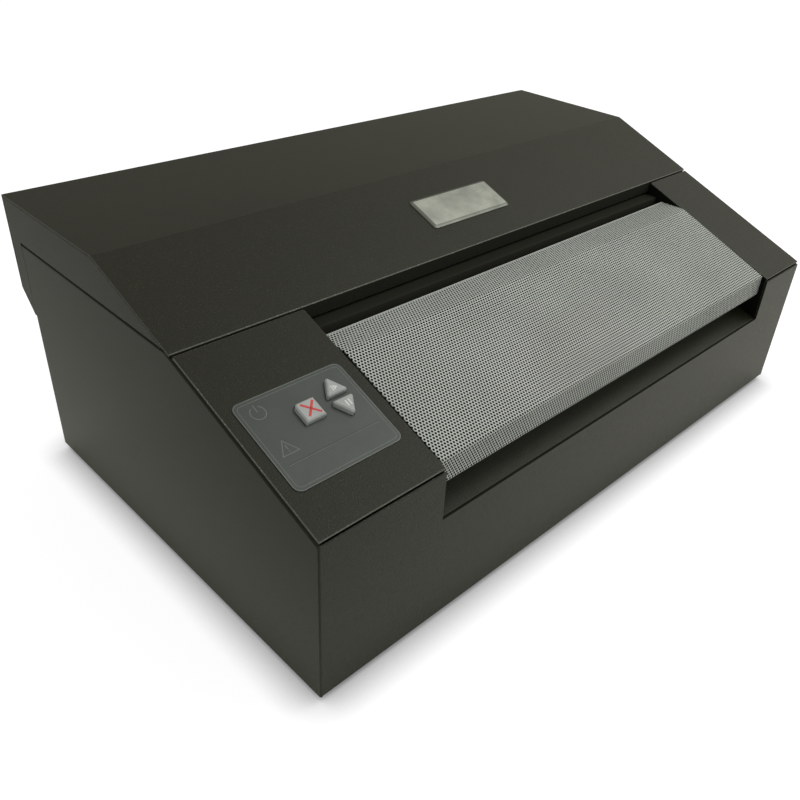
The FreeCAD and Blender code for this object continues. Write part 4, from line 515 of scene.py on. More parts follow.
class Shape(Graph):
    """A geometry tree with named inputs."""

    def __init__(self, name, points, counts, lengths, finishes):
        super().__init__(bpy.data.node_groups.new(name, "GeometryNodeTree"))
        self.sockets = {}
        kinds = {"Vector": points, "Int": counts, "Float": lengths, "Material": finishes}
        for kind, titles in kinds.items():
            for title in titles.split():
                made = self.tree.interface.new_socket(title, in_out="INPUT", socket_type="NodeSocket" + kind)
                self.sockets[title] = made.identifier
        self.tree.interface.new_socket("Mesh", in_out="OUTPUT", socket_type="NodeSocketGeometry")
        self.given = self.add("NodeGroupInput").outputs

    def vector(self, x=0.0, y=0.0, z=0.0):
        """A vector of three numbers or sockets."""
        return self.out("ShaderNodeCombineXYZ", {"X": x, "Y": y, "Z": z})

    def vmath(self, operation, *values):
        """One vector worked out from others."""
        return self.out("ShaderNodeVectorMath", dict(enumerate(values)), operation=operation)

    def scaled(self, vector, factor):
        """A vector made longer or shorter."""
        return self.out("ShaderNodeVectorMath", {0: vector, "Scale": factor}, operation="SCALE")

    def position(self):
        """The three parts of each point's position."""
        return self.split(self.out("GeometryNodeInputPosition"))

    def switch(self, kind, test, no, yes):
        """One of two values."""
        return self.out("GeometryNodeSwitch", {"Switch": test, "False": no, "True": yes}, input_type=kind)

    def line(self, count, start=(0.0, 0.0, 0.0), step=(0.0, 0.0, 1.0)):
        """Points in a row."""
        ends = {"Count": count, "Start Location": start, "Offset": step}
        return self.out("GeometryNodeMeshLine", ends, mode="OFFSET")

    def grid(self, size_x, size_y, columns, rows):
        """Points in a grid round the origin."""
        sizes = {"Size X": size_x, "Size Y": size_y, "Vertices X": columns, "Vertices Y": rows}
        return self.out("GeometryNodeMeshGrid", sizes)

    def laid(self, points, shape, **turn):
        """A shape on each point."""
        return self.out("GeometryNodeInstanceOnPoints", {"Points": points, "Instance": shape, **turn})

    def real(self, mesh):
        """Geometry with its instances made real."""
        return self.out("GeometryNodeRealizeInstances", {0: mesh})

    def merged(self, mesh, distance=0.00002):
        """Geometry with its doubled points made one."""
        return self.out("GeometryNodeMergeByDistance", {0: mesh, "Distance": distance})

    def moved(self, mesh, position=None, **more):
        """Geometry with its points set."""
        inputs = {"Geometry": mesh, **more}
        if position is not None:
            inputs["Position"] = position
        return self.out("GeometryNodeSetPosition", inputs)

    def shifted(self, mesh, step):
        """Geometry moved as a whole."""
        return self.out("GeometryNodeTransform", {"Geometry": mesh, "Translation": step})

    def joined(self, *parts):
        """Several geometries as one."""
        node = self.add("GeometryNodeJoinGeometry")
        for part in reversed(parts):
            self.link(part, node.inputs[0])
        return node.outputs[0]

    def finished(self, mesh, material, *others):
        """Ends the tree with real instances and a finish. Each of others is a finish and its faces."""
        mesh = self.out("GeometryNodeSetMaterial", {"Geometry": self.real(mesh), "Material": material})
        for finish, faces in others:
            coated = {"Geometry": mesh, "Material": finish, "Selection": faces}
            mesh = self.out("GeometryNodeSetMaterial", coated)
        self.add("NodeGroupOutput", {0: mesh})

    def piece(self, name, **values):
        """A plain mesh piece that the tree makes from these inputs."""
        holder = show(name, bpy.data.meshes.new(name))
        modifier = holder.modifiers.new(self.tree.name, "NODES")
        modifier.node_group = self.tree
        for title, value in values.items():
            modifier[self.sockets[title]] = value
        return made_plain(holder)


def perforated_sheet():
    """The tree of the grille: rows of holes in staggered cells, folded along a bent line."""
    tree = Shape("perforated_sheet", "foot fold bend rear", "columns sheet_rows first_row rows",
                 "width hole thickness bend_radius", "paint bore")
    given = tree.given
    thickness = given["thickness"]
    corner = tree.add("GeometryNodeIndexSwitch", data_type="VECTOR")
    corner.index_switch_items.new()
    corner.index_switch_items.new()
    tree.link(tree.out("GeometryNodeInputIndex"), corner.inputs["Index"])
    for i, title in enumerate(("foot", "fold", "bend", "rear"), 1):
        tree.link(given[title], corner.inputs[i])
    line = tree.out("GeometryNodeMeshToCurve", {0: tree.moved(tree.line(4), corner.outputs[0])})
    bend = {0: line, "Radius": given["bend_radius"], "Count": 7}
    line = tree.out("GeometryNodeFilletCurve", bend, mode="POLY")
    row = tree.math("DIVIDE", tree.out("GeometryNodeCurveLength", {0: line}), given["sheet_rows"])
    pitch = tree.math("DIVIDE", given["width"], tree.plus(given["columns"], 0.5))
    half_cell = (tree.times(pitch, 0.5), tree.times(row, 0.5))

    def cell(steps, start):
        """A cell's top, hole wall and underside, from a start angle round that many eighths."""
        grid = tree.grid(steps, 3.0, steps + 1, 4)
        at = tree.position()
        angle = tree.math("MULTIPLY_ADD", at[0], math.pi / 4, start + steps * math.pi / 8)
        ways = (tree.math("COSINE", angle), tree.math("SINE", angle))
        # Stretched and rounded to -1, 0 or 1, the eight ways round the hole lead to the cell's border
        border = [tree.math("ROUND", tree.times(way, 1.3)) for way in ways]
        edge = [tree.times(way, half) for way, half in zip(border, half_cell)]
        hole = [tree.times(way, given["hole"]) for way in ways]
        inside = tree.math("LESS_THAN", tree.math("ABSOLUTE", at[1]), 1.0)
        below = tree.math("GREATER_THAN", at[1], 0.0)
        flat = tree.switch("VECTOR", inside, tree.vector(*edge), tree.vector(*hole))
        drop = tree.times(tree.times(below, thickness), -1.0)
        return tree.moved(grid, tree.vmath("ADD", flat, tree.vector(z=drop)))

    span_x = tree.times(pitch, tree.math("SUBTRACT", given["columns"], 1.0))
    span_y = tree.times(row, tree.math("SUBTRACT", given["rows"], 1.0))
    grid = tree.grid(span_x, span_y, given["columns"], given["rows"])
    at = tree.position()
    place_y = tree.plus(at[1], tree.times(span_y, 0.5))
    odd = tree.math("MODULO", tree.math("ROUND", tree.math("DIVIDE", place_y, row)), 2.0)
    shift = tree.times(pitch, tree.math("MULTIPLY_ADD", odd, 0.5, 0.5))
    place_x = tree.plus(at[0], tree.plus(shift, tree.times(span_x, 0.5)))
    place = tree.vector(place_x, tree.math("MULTIPLY_ADD", row, 0.5, place_y))
    points = tree.moved(grid, place)
    half_rows = tree.math("DIVIDE", given["rows"], 2.0)
    step = tree.vector(y=tree.times(row, 2.0))

    def row_ends(x, rows_up):
        """A point at the end of every second row."""
        return tree.line(half_rows, tree.vector(x, tree.times(row, rows_up)), step)

    sheet = tree.merged(tree.real(tree.joined(
        tree.laid(points, cell(8, 0.0)),
        tree.laid(row_ends(given["width"], 0.5), cell(4, math.pi / 2)),
        tree.laid(row_ends(0.0, 1.5), cell(4, -math.pi / 2)),
    )))
    height = tree.position()[2]
    walls = tree.add("GeometryNodeCaptureAttribute", domain="FACE")
    walls.capture_items.new("FLOAT", "height")
    tree.link(sheet, walls.inputs[0])
    tree.link(height, walls.inputs[1])
    # A face's mean height tells the top, at 0, from the hole walls and the underside
    top = tree.math("GREATER_THAN", height, tree.times(thickness, -0.4))
    border = tree.times(top, tree.math("LESS_THAN", tree.out("GeometryNodeInputMeshEdgeNeighbors"), 1.5))
    down = tree.vector(z=-1.0)
    wall = {"Mesh": walls.outputs[0], "Selection": border, "Offset": down, "Offset Scale": thickness}
    sheet = tree.merged(tree.out("GeometryNodeExtrudeMesh", wall, mode="EDGES"))
    at = tree.position()
    along = tree.math("MULTIPLY_ADD", row, given["first_row"], at[1])
    bent = tree.add("GeometryNodeSampleCurve", {"Curves": line, "Length": along}, mode="LENGTH").outputs
    outward = tree.vmath("CROSS_PRODUCT", (1.0, 0.0, 0.0), bent["Tangent"])
    place = tree.vmath("ADD", bent["Position"], tree.scaled(outward, at[2]))
    place = tree.vmath("ADD", place, tree.vector(x=at[0]))
    # Painted shade: the hole walls and the underside take the dark bore finish
    under = tree.math("LESS_THAN", walls.outputs[1], tree.times(thickness, -0.2))
    tree.finished(tree.moved(sheet, place), given["paint"], (given["bore"], under))
    return tree


def cross_screws():
    """The tree of domed screws with a crossed slot, laid out in columns and rows."""
    tree = Shape("cross_screws", "start across up turn", "columns rows", "head height shank", "metal")
    given = tree.given
    head, height, shank = given["head"], given["height"], given["shank"]
    dome = {"Vertices": 24, "Side Segments": 5, "Radius Top": head, "Radius Bottom": head, "Depth": height}
    dome = tree.out("GeometryNodeMeshCone", dome)
    at = tree.position()
    rise = tree.math("DIVIDE", at[2], height)
    shrink = tree.math("MULTIPLY_ADD", tree.times(rise, rise), -0.4, 1.0)
    dome = tree.moved(dome, tree.vector(tree.times(at[0], shrink), tree.times(at[1], shrink), at[2]))
    stem = {"Vertices": 16, "Radius": tree.times(head, 0.46), "Depth": shank}
    sunk = tree.math("MULTIPLY_ADD", shank, -0.5, tree.times(height, 0.3))
    stem = tree.shifted(tree.out("GeometryNodeMeshCylinder", stem), tree.vector(z=sunk))
    whole = tree.add("GeometryNodeMeshBoolean", {"Mesh 2": dome}, operation="UNION", solver="EXACT")
    tree.link(stem, whole.inputs["Mesh 2"])
    cuts = {"Mesh 1": whole.outputs[0]}
    cuts = tree.add("GeometryNodeMeshBoolean", cuts, operation="DIFFERENCE", solver="EXACT")
    wide, long = tree.times(head, 0.26), tree.times(head, 1.1)
    for sides in ((wide, long), (long, wide)):
        cube = tree.out("GeometryNodeMeshCube", {"Size": tree.vector(*sides, height)})
        tree.link(tree.shifted(cube, tree.vector(z=height)), cuts.inputs["Mesh 2"])
    row = tree.line(given["columns"], given["start"], given["across"])
    places = tree.real(tree.laid(row, tree.line(given["rows"], step=given["up"])))
    tree.finished(tree.laid(places, cuts.outputs[0], Rotation=given["turn"]), given["metal"])
    return tree


def toothed_belt():
    """The tree of the belt: a flat band round two pulleys with teeth on its inner side."""
    tree = Shape("toothed_belt", "middle", "teeth", "half_span radius height band tooth", "rubber")
    given = tree.given
    height, band, tooth = given["height"], given["band"], given["tooth"]
    ring = {"Resolution": 66, "Radius": given["radius"]}
    ring = tree.out("GeometryNodeCurvePrimitiveCircle", ring, mode="RADIUS")
    pull = tree.vector(tree.times(tree.math("SIGN", tree.position()[0]), given["half_span"]))
    path = tree.moved(ring, Offset=pull)
    outline = {"Width": band, "Height": height}
    outline = tree.out("GeometryNodeCurvePrimitiveQuadrilateral", outline, mode="RECTANGLE")
    strap = tree.out("GeometryNodeCurveToMesh", {"Curve": path, "Profile Curve": outline})
    spaced = {"Curve": path, "Count": given["teeth"]}
    spaced = tree.add("GeometryNodeCurveToPoints", spaced, mode="COUNT").outputs
    tangent = spaced["Tangent"]
    inward = tree.vmath("CROSS_PRODUCT", (0.0, 0.0, 1.0), tangent)
    # Each tooth is sunk a little into the band
    sunk = tree.times(tree.plus(band, tooth), 0.48)
    feet = tree.moved(spaced["Points"], Offset=tree.scaled(inward, sunk))
    cog = tree.out("GeometryNodeMeshCube", {"Size": tree.vector(1.0 * MM, tooth, height)})
    turn = tree.out("FunctionNodeAlignRotationToVector", {"Vector": tangent}, axis="X", pivot_axis="Z")
    whole = tree.joined(strap, tree.laid(feet, cog, Rotation=turn))
    tree.finished(tree.shifted(whole, given["middle"]), given["rubber"])
    return tree


# Settings


def screen_colour(name, description, default):
    """A colour setting, written as it shows on screen."""
    return FloatVectorProperty(name=name, description=description, subtype="COLOR_GAMMA", size=3, min=0.0,
                               max=1.0, default=default)


def number(name, description, default, unit="NONE", low=0.0, high=1000.0):
    """A number setting."""
    return FloatProperty(name=name, description=description, default=default, unit=unit, min=low, max=high,
                         precision=5 if unit == "LENGTH" else 2)


class PaintSettings(bpy.types.PropertyGroup):
    """Colours and edges of the case"""

    case: screen_colour("Case", "Powder coat of the case and its lid", (0.113, 0.115, 0.08))
    # Painted highlights: a light coat on rounded edges and bends that stands in for the light they catch
    painted_highlights: screen_colour("Edges", "Thin coat on the rounded edges of the case", (0.34, 0.345, 0.31))
    recess: screen_colour("Recess", "Powder coat under the grille", (0.125, 0.127, 0.09))
    # Base of the dull coats: copies of it are painted shade under the decks' edges and on the lid's lip, and
    # lighter copies are painted light on the shaded shelf and riser
    inner: screen_colour("Inner coat", "Thin coat of faces turned inwards", (0.115, 0.115, 0.1))
    # Painted shade: a dark colour on the hole walls and the grille's underside, where shade falls
    bore: screen_colour("Hole walls", "Walls of the grille's holes and its underside", (0.06, 0.06, 0.055))
    grille: screen_colour("Grille", "Paint of the perforated grille", (0.73, 0.75, 0.715))
    panel: screen_colour("Panel", "Film of the control panel", (0.215, 0.232, 0.222))
    keys: screen_colour("Keys", "Plastic of the keys", (0.65, 0.66, 0.645))
    specular: number("Shine", "Specular level of the case's powder coat", 0.2, high=1.0)
    roughness: number("Roughness", "Roughness of the case's powder coat", 0.4, low=0.05, high=1.0)
    edge: number("Edge round", "Rounding of the case's sheet edges, in millimetres", 0.42, low=0.05, high=1.0)


class GrilleSettings(bpy.types.PropertyGroup):
    """Sizes of the perforation"""

    columns: IntProperty(name="Columns", description="Whole holes in one row", default=171, min=2)
    rows: IntProperty(name="Rows", description="Rows from the lip's foot to the rear edge", default=64,
                      min=2 * STRIP_ROWS + 2)
    hole: number("Hole radius", "Radius of one hole", 0.00086, "LENGTH", low=0.0001)
    sheet: number("Sheet", "Thickness of the sheet", 0.0008, "LENGTH", low=0.0002)


class StageSettings(bpy.types.PropertyGroup):
    """Lamps and sky"""

    key_power: number("Key lamp", "Power of the large lamp", 10.0, "POWER")
    light: number("Room light", "Strength of the light from all round", 0.62)
    behind: number("Behind", "Strength of the mirrored room low down behind the object", 0.25)
    overhead: number("Overhead", "Strength that the mirrored room gains overhead", 0.4)
    front: number("In front", "Strength that the mirrored room gains in front", 0.64)
    right: number("At the right", "Strength that the mirrored room gains at the right", 0.15)
    # The contact shadow is painted into the floor's glow by ambient occlusion
    contact: number("Contact shadow", "Reach of the shadow at the foot of the object", 0.025, "LENGTH")


class EmbosserSettings(bpy.types.PropertyGroup):
    """All settings of the embosser"""

    paint: PointerProperty(type=PaintSettings, name="Paint", description="Colours and edges of the case")
    grille: PointerProperty(type=GrilleSettings, name="Grille", description="Sizes of the perforation")
    stage: PointerProperty(type=StageSettings, name="Stage", description="Lamps and sky")


# Pieces


class EMBOSSER_OT_case(bpy.types.Operator):
    """Paints the pan, the side panels and the decks"""

    bl_idname = "embosser.case"
    bl_label = "Case"

    def execute(self, context):
        paint = context.scene.embosser.paint
        coat = sand_paint("case_coat", paint.case, paint.specular, paint.roughness)
        # Painted highlights: a light coat on the bends and rounded edges of the decks
        highlight_coat = sand_paint("case_edge_coat", paint.painted_highlights, 0.4, 0.35)
        # Painted light: a dimmer copy of the highlight coat lights the front wall's top edge, which lies in
        # shade under the deck's front edge, and is a weaker painted highlight on the right deck's bends
        dim_highlight_coat = sand_paint("sill_coat", shade(paint.painted_highlights, 0.75), 0.3, 0.4)
        # Painted shade: a darker dull coat on the decks' inner flanges and undersides deepens the gaps beside
        # them
        inner = dull_coat("deck_inner_coat", shade(paint.inner, 0.6))

        def on_sill(at, out):
            return at.y < SILL_DEPTH and at.z > SILL_HEIGHT and out.z > STRAIGHT

        # Faces that take the painted shade: the flange toward the recess and the undersides
        def shaded_left_deck_face(at, out):
            return (at.x > RECESS_LEFT and out.x > STRAIGHT) or out.z < -LEANING

        def shaded_right_deck_face(at, out):
            return (at.x < RECESS_RIGHT and out.x < -LEANING) or out.z < -LEANING

        dressed("base_pan", coat, paint.edge, [(dim_highlight_coat, on_sill)])
        dressed("side_panel_left", coat, paint.edge)
        dressed("side_panel_right", coat, paint.edge)
        dressed("deck_left", coat, paint.edge, [(inner, shaded_left_deck_face)], painted_highlights=highlight_coat)
        dressed("deck_right", coat, paint.edge, [(inner, shaded_right_deck_face)], painted_highlights=dim_highlight_coat)
        self.tray(paint)
        rubber = moulded("foot_rubber", (0.1, 0.1, 0.1), 0.8, 0.0008, 0.0001, 0.2)
        dressed("feet", rubber, 1.0, steps=3)
        self.screws(3.2 * MM, 1.8 * MM)
        return {"FINISHED"}

    def tray(self, paint):
        """The tray under the grille, with its rear shelf raised to just under the paper."""
        # Painted light: the shelf and its riser get lighter copies of the dull coat, so that they look lit
        # though they lie in the lid's shade
        shelf = dull_coat("shelf_coat", shade(paint.inner, 1.4))
        riser = dull_coat("riser_coat", shade(paint.inner, 1.6))
        coat = sand_paint("recess_coat", paint.recess, paint.specular, paint.roughness)

        def raised(at):
            on_shelf = at.y > SHELF_FRONT and at.z > SHELF_HEIGHT
            return (at.x, at.y, at.z + SHELF_LIFT if on_shelf else at.z)

        dressed("recess_tray", coat, 0.3, [
            (shelf, lambda at, out: at.y > SHELF_FRONT + 1.0 and out.z > LEANING),
            (riser, lambda at, out: at.y > SHELF_FRONT and out.y < -LEANING),
        ], moved=raised)

    def screws(self, head, height):
        """The screws in the rear wall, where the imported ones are."""
        low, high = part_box("case_screws")
        piece = cross_screws().piece(
            "rear_screws", start=(low.x + head, high.y - height, low.z + head), columns=2, rows=2,
            across=(high.x - low.x - 2 * head, 0.0, 0.0), up=(0.0, 0.0, high.z - low.z - 2 * head),
            turn=(-math.pi / 2, 0.0, 0.0), head=head, height=height, shank=high.y - low.y - 0.7 * height,
            metal=worked_metal("screw_zinc", (0.6, 0.6, 0.58), 0.35),
        )
        in_place_of("case_screws", piece)


class EMBOSSER_OT_lid(bpy.types.Operator):
    """Paints the lid and finishes its hinges"""

    bl_idname = "embosser.lid"
    bl_label = "Lid and hinges"

    def execute(self, context):
        paint = context.scene.embosser.paint
        coat = sand_paint("lid_coat", paint.case, paint.specular, paint.roughness)
        # Painted highlights: a light coat on the bends and rounded edges of the lid
        highlight_coat = sand_paint("lid_edge_coat", paint.painted_highlights, 0.4, 0.35)
        # Dull coat of the lid's inside; on the lip's front face it is painted shade
        inner = dull_coat("lid_inner_coat", shade(paint.inner, 1.29))
        middle = Vector(LID_MIDDLE)

        # Painted shade: the lip's front face, under the lid's front edge, takes the dark dull coat of the
        # lid's inside
        def inside(at, out):
            return (middle - at).dot(out) > 0.0 or (at.y < LIP_REAR and at.z < LIP_TOP)

        def deeper(at):
            """The lip along the lid's front reaches down to the paper."""
            return (at.x, at.y, at.z - LIP_DROP if at.y < LIP_REAR and at.z < LIP_FOOT else at.z)

        dressed("lid_shell", coat, paint.edge, [(inner, inside)], moved=deeper, painted_highlights=highlight_coat)
        zinc = worked_metal("hinge_zinc", (0.55, 0.55, 0.53), 0.36, (0.1, 1.0, 1.0))
        dressed("hinge_leaf_base", zinc, 0.2)
        dressed("hinge_leaf_lid", zinc, 0.2)
        dressed("hinge_pins", worked_metal("pin_steel", (0.62, 0.62, 0.6), 0.22, (0.1, 1.0, 1.0)), 0.3)
        return {"FINISHED"}


class EMBOSSER_OT_grille(bpy.types.Operator):
    """Perforates and folds the grille and hangs it on its pivots"""

    bl_idname = "embosser.grille"
    bl_label = "Grille"

    def execute(self, context):
        sizes = context.scene.embosser.grille
        paint = context.scene.embosser.paint
        coat = sand_paint("grille_coat", paint.grille, 0.4, 0.45, 1.1, 0.0006, 0.00008)
        # Painted shade for the holes' walls and the sheet's underside
        bore = dull_coat("grille_bore_coat", paint.bore)
        sheet = perforated_sheet()
        low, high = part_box("grille")
        left, right = case_mm(low).x, case_mm(high).x
        corners = {title: spot(left, y, z) for title, (y, z) in GRILLE_CORNERS.items()}
        start, pieces = 0, []
        for i, rows in enumerate((STRIP_ROWS, STRIP_ROWS, sizes.rows - 2 * STRIP_ROWS), 1):
            pieces.append(sheet.piece(
                f"grille_strip_{i}", **corners, columns=sizes.columns, sheet_rows=sizes.rows, rows=rows,
                first_row=start, width=(right - left) * MM, hole=sizes.hole, thickness=sizes.sheet,
                bend_radius=1.0 * MM, paint=coat, bore=bore,
            ))
            start += rows
        thick = sizes.sheet / MM
        pieces.append(self.ears(left + thick / 2, right - thick / 2, thick, coat))
        pieces.append(self.rim(left, right, thick, coat))
        for piece in pieces:
            fitted(piece, "grille", "grille_paint", "grille")
        dressed("grille_pivots", worked_metal("pivot_steel", (0.6, 0.6, 0.58), 0.25), 0.3)
        return {"FINISHED"}

    def ears(self, left, right, thick, coat):
        """The two ears that hang the grille on its pivots."""
        half = [(EAR_RADIUS, 0.0), (EAR_SIDE, EAR_TOP)]
        outline = [(-x, y) for x, y in reversed(half)] + arc(0.0, 0.0, EAR_RADIUS, 180, 360, 14) + half
        ear = plate("ear", [outline, arc(0.0, 0.0, EAR_HOLE, 0, 345, 23)], thick)
        upright = Matrix(((0, 0, 1), (1, 0, 0), (0, 1, 0))).to_4x4()
        work = bmesh.new()
        for x in (left, right):
            turned = ear.copy()
            turned.transform(Matrix.Translation(spot(x, *GRILLE_PIVOT)) @ Matrix.Scale(MM, 4) @ upright)
            work.from_mesh(turned)
        bmesh.ops.remove_doubles(work, verts=work.verts, dist=0.000002)
        return show("grille_ears", kept(work, "grille_ears", coat))

    def rim(self, left, right, thick, coat):
        """The whole strip of sheet along the grille's rear edge."""
        work = bmesh.new()
        bmesh.ops.create_cube(work, size=1.0)
        low, high = spot(left, RIM_FRONT, GRILLE_CORNERS["rear"][1] - thick), spot(right, RIM_REAR, RIM_TOP)
        for corner in work.verts:
            corner.co = Vector(high[i] if corner.co[i] > 0 else low[i] for i in range(3))
        return show("grille_rim", kept(work, "grille_rim", coat))


class EMBOSSER_OT_badge(bpy.types.Operator):
    """Finishes the bare badge plate"""

    bl_idname = "embosser.badge"
    bl_label = "Badge"

    def execute(self, context):
        satin = worked_metal("badge_satin", (0.65, 0.66, 0.64), 0.36, (0.05, 1.0, 1.0), 0.78)
        # Painted shade: the slanted sides of the plate get a darker metal that stands in for the dark
        # reflection on them
        edge = worked_metal("badge_edge", (0.4, 0.41, 0.39), 0.4)

        def slanted(at, out):
            return off_slope(out.y, out.z) < 0.98

        dressed("badge_plate", satin, 0.12, [(edge, slanted)])
        return {"FINISHED"}


class EMBOSSER_OT_panel(bpy.types.Operator):
    """Lays the control film and prints its lines and marks"""

    bl_idname = "embosser.panel"
    bl_label = "Control panel"

    def execute(self, context):
        film = context.scene.embosser.paint.panel
        dressed("control_overlay", moulded("panel_film", film, 0.4, 0.0007, 0.00003), 0.12)
        border = [
            (rounded_box(8.95, 29.95, 84.85, 93.85, 4.7), 0.5, True),
            (rounded_box(11.1, 32.1, 82.7, 91.7, 3.0), 0.35, True),
            ([(15.0, 46.3), (79.5, 46.3)], 0.3, False),
        ]
        power = [(arc(20.8, 83.7, 4.6, 120, 420), 0.6, False), ([(20.8, 84.2), (20.8, 89.6)], 0.6, False)]
        alert = [
            ([(21.1, 61.9), (15.7, 52.6), (26.6, 52.6)], 0.6, True),
            ([(21.1, 59.0), (21.1, 55.6)], 0.6, False),
            ([(21.1, 54.7), (21.1, 53.9)], 0.6, False),
        ]
        divider = [([(15.0, 46.8), (79.5, 46.8)], 0.35, False)]
        prints = (("panel_print", border + power + alert, "panel_ink", 1.75),
                  ("panel_divider", divider, "panel_shade", 0.5))
        for name, ribbons, ink, factor in prints:
            ink = moulded(ink, shade(film, factor), 0.45, 0.0007, 0.00002)
            slope_prints(name, ribbons, PANEL_PRINT, ink, "base", "overlay_film")
        return {"FINISHED"}


class EMBOSSER_OT_keys(bpy.types.Operator):
    """Finishes the three keys and prints their marks"""

    bl_idname = "embosser.keys"
    bl_label = "Keys"

    def execute(self, context):
        colour = context.scene.embosser.paint.keys
        plastic = moulded("key_plastic", colour, 0.38, 0.0006, 0.00003)
        red = moulded("key_red", (0.78, 0.22, 0.2), 0.4)
        white = moulded("key_white", (0.86, 0.87, 0.85), 0.4)
        cross = [([(42.8, 75.5), (51.4, 66.1)], 1.55, False), ([(51.35, 75.5), (43.1, 66.4)], 1.55, False)]
        arrow = [(68.5, 78.2), (68.5, 75.9), (70.4, 77.1)]
        forward = [([(67.2, 75.0), (67.2, 79.0)], 0.7, False), (arrow, 0.7, True)]
        bars = [([(68.4, 62.0), (68.4, 66.2)], 1.0, False), ([(70.7, 62.2), (70.7, 66.5)], 1.0, False)]
        marks = {"cancel": (cross, red), "feed": (forward, white), "pause": (bars, white)}
        for key in marks:
            dressed("key_" + key, plastic, 0.18)
        for key, (ribbons, ink) in marks.items():
            slope_prints(key + "_mark", ribbons, KEY_PRINT, ink, "key_" + key, "key_plastic")
        return {"FINISHED"}


class EMBOSSER_OT_mechanism(bpy.types.Operator):
    """Finishes the frames, beams, rods, head and paper feed"""

    bl_idname = "embosser.mechanism"
    bl_label = "Mechanism"

    def execute(self, context):
        zinc = worked_metal("frame_zinc", (0.56, 0.57, 0.55), 0.38)
        ground = worked_metal("ground_steel", (0.6, 0.6, 0.59), 0.2, (0.06, 1.0, 1.0))
        cast = cast_metal("cast_aluminium", (0.56, 0.56, 0.55), 0.45)
        bronze = worked_metal("bush_bronze", (0.62, 0.46, 0.26), 0.34)
        groups = (
            (zinc, 0.25, "frame_left frame_right front_beam platen_beam paper_guide idler_bracket"),
            (ground, 0.2, "die_bar guide_rods feed_shaft support_rod punch_1 punch_2 punch_3"),
            (cast, 0.3, "carriage motor_pulley idler_pulley"),
            (bronze, 0.2, "carriage_bushes shaft_bushes"),
        )
        for finish, edge, nodes in groups:
            for node in nodes.split():
                dressed(node, finish, edge)
        coil = moulded("coil_case", (0.12, 0.12, 0.13), 0.5)
        dressed("solenoids", coil, 0.3, [(zinc, lambda at, out: abs(out.z) > STRAIGHT)])
        for node, axis in (("carriage_motor", 2), ("feed_motor", 0)):
            low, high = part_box(node)
            dressed(node, motor_skin(node + "_skin", axis, low[axis], high[axis]), 0.4)
        dressed("feed_gear", moulded("gear_plastic", (0.78, 0.76, 0.7), 0.45), 0.12)
        dressed("feed_pinion", worked_metal("pinion_brass", (0.66, 0.56, 0.32), 0.3), 0.08)
        self.belt(moulded("belt_rubber", (0.09, 0.09, 0.09), 0.7))
        tractor = moulded("tractor_plastic", (0.14, 0.14, 0.145), 0.5)
        lever = moulded("lever_plastic", (0.2, 0.42, 0.56), 0.42)
        for side in ("left", "right"):
            for node in ("tractor_body_", "tractor_gate_", "pin_wheel_"):
                dressed(node + side, tractor, 0.25)
            dressed("lock_lever_" + side, lever, 0.3)
        return {"FINISHED"}

    def belt(self, rubber, band=0.8 * MM, tooth=0.6 * MM, tooth_pitch=2.03 * MM):
        """The toothed belt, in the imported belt's place."""
        low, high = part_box("carriage_belt")
        outer = (high.y - low.y) / 2
        half_span = (high.x - low.x) / 2 - outer
        radius = outer - band / 2
        around = 4 * half_span + 2 * math.pi * radius
        in_place_of("carriage_belt", toothed_belt().piece(
            "toothed_belt", middle=(low + high) / 2, half_span=half_span, radius=radius,
            height=high.z - low.z, band=band, tooth=tooth, teeth=round(around / tooth_pitch), rubber=rubber,
        ))


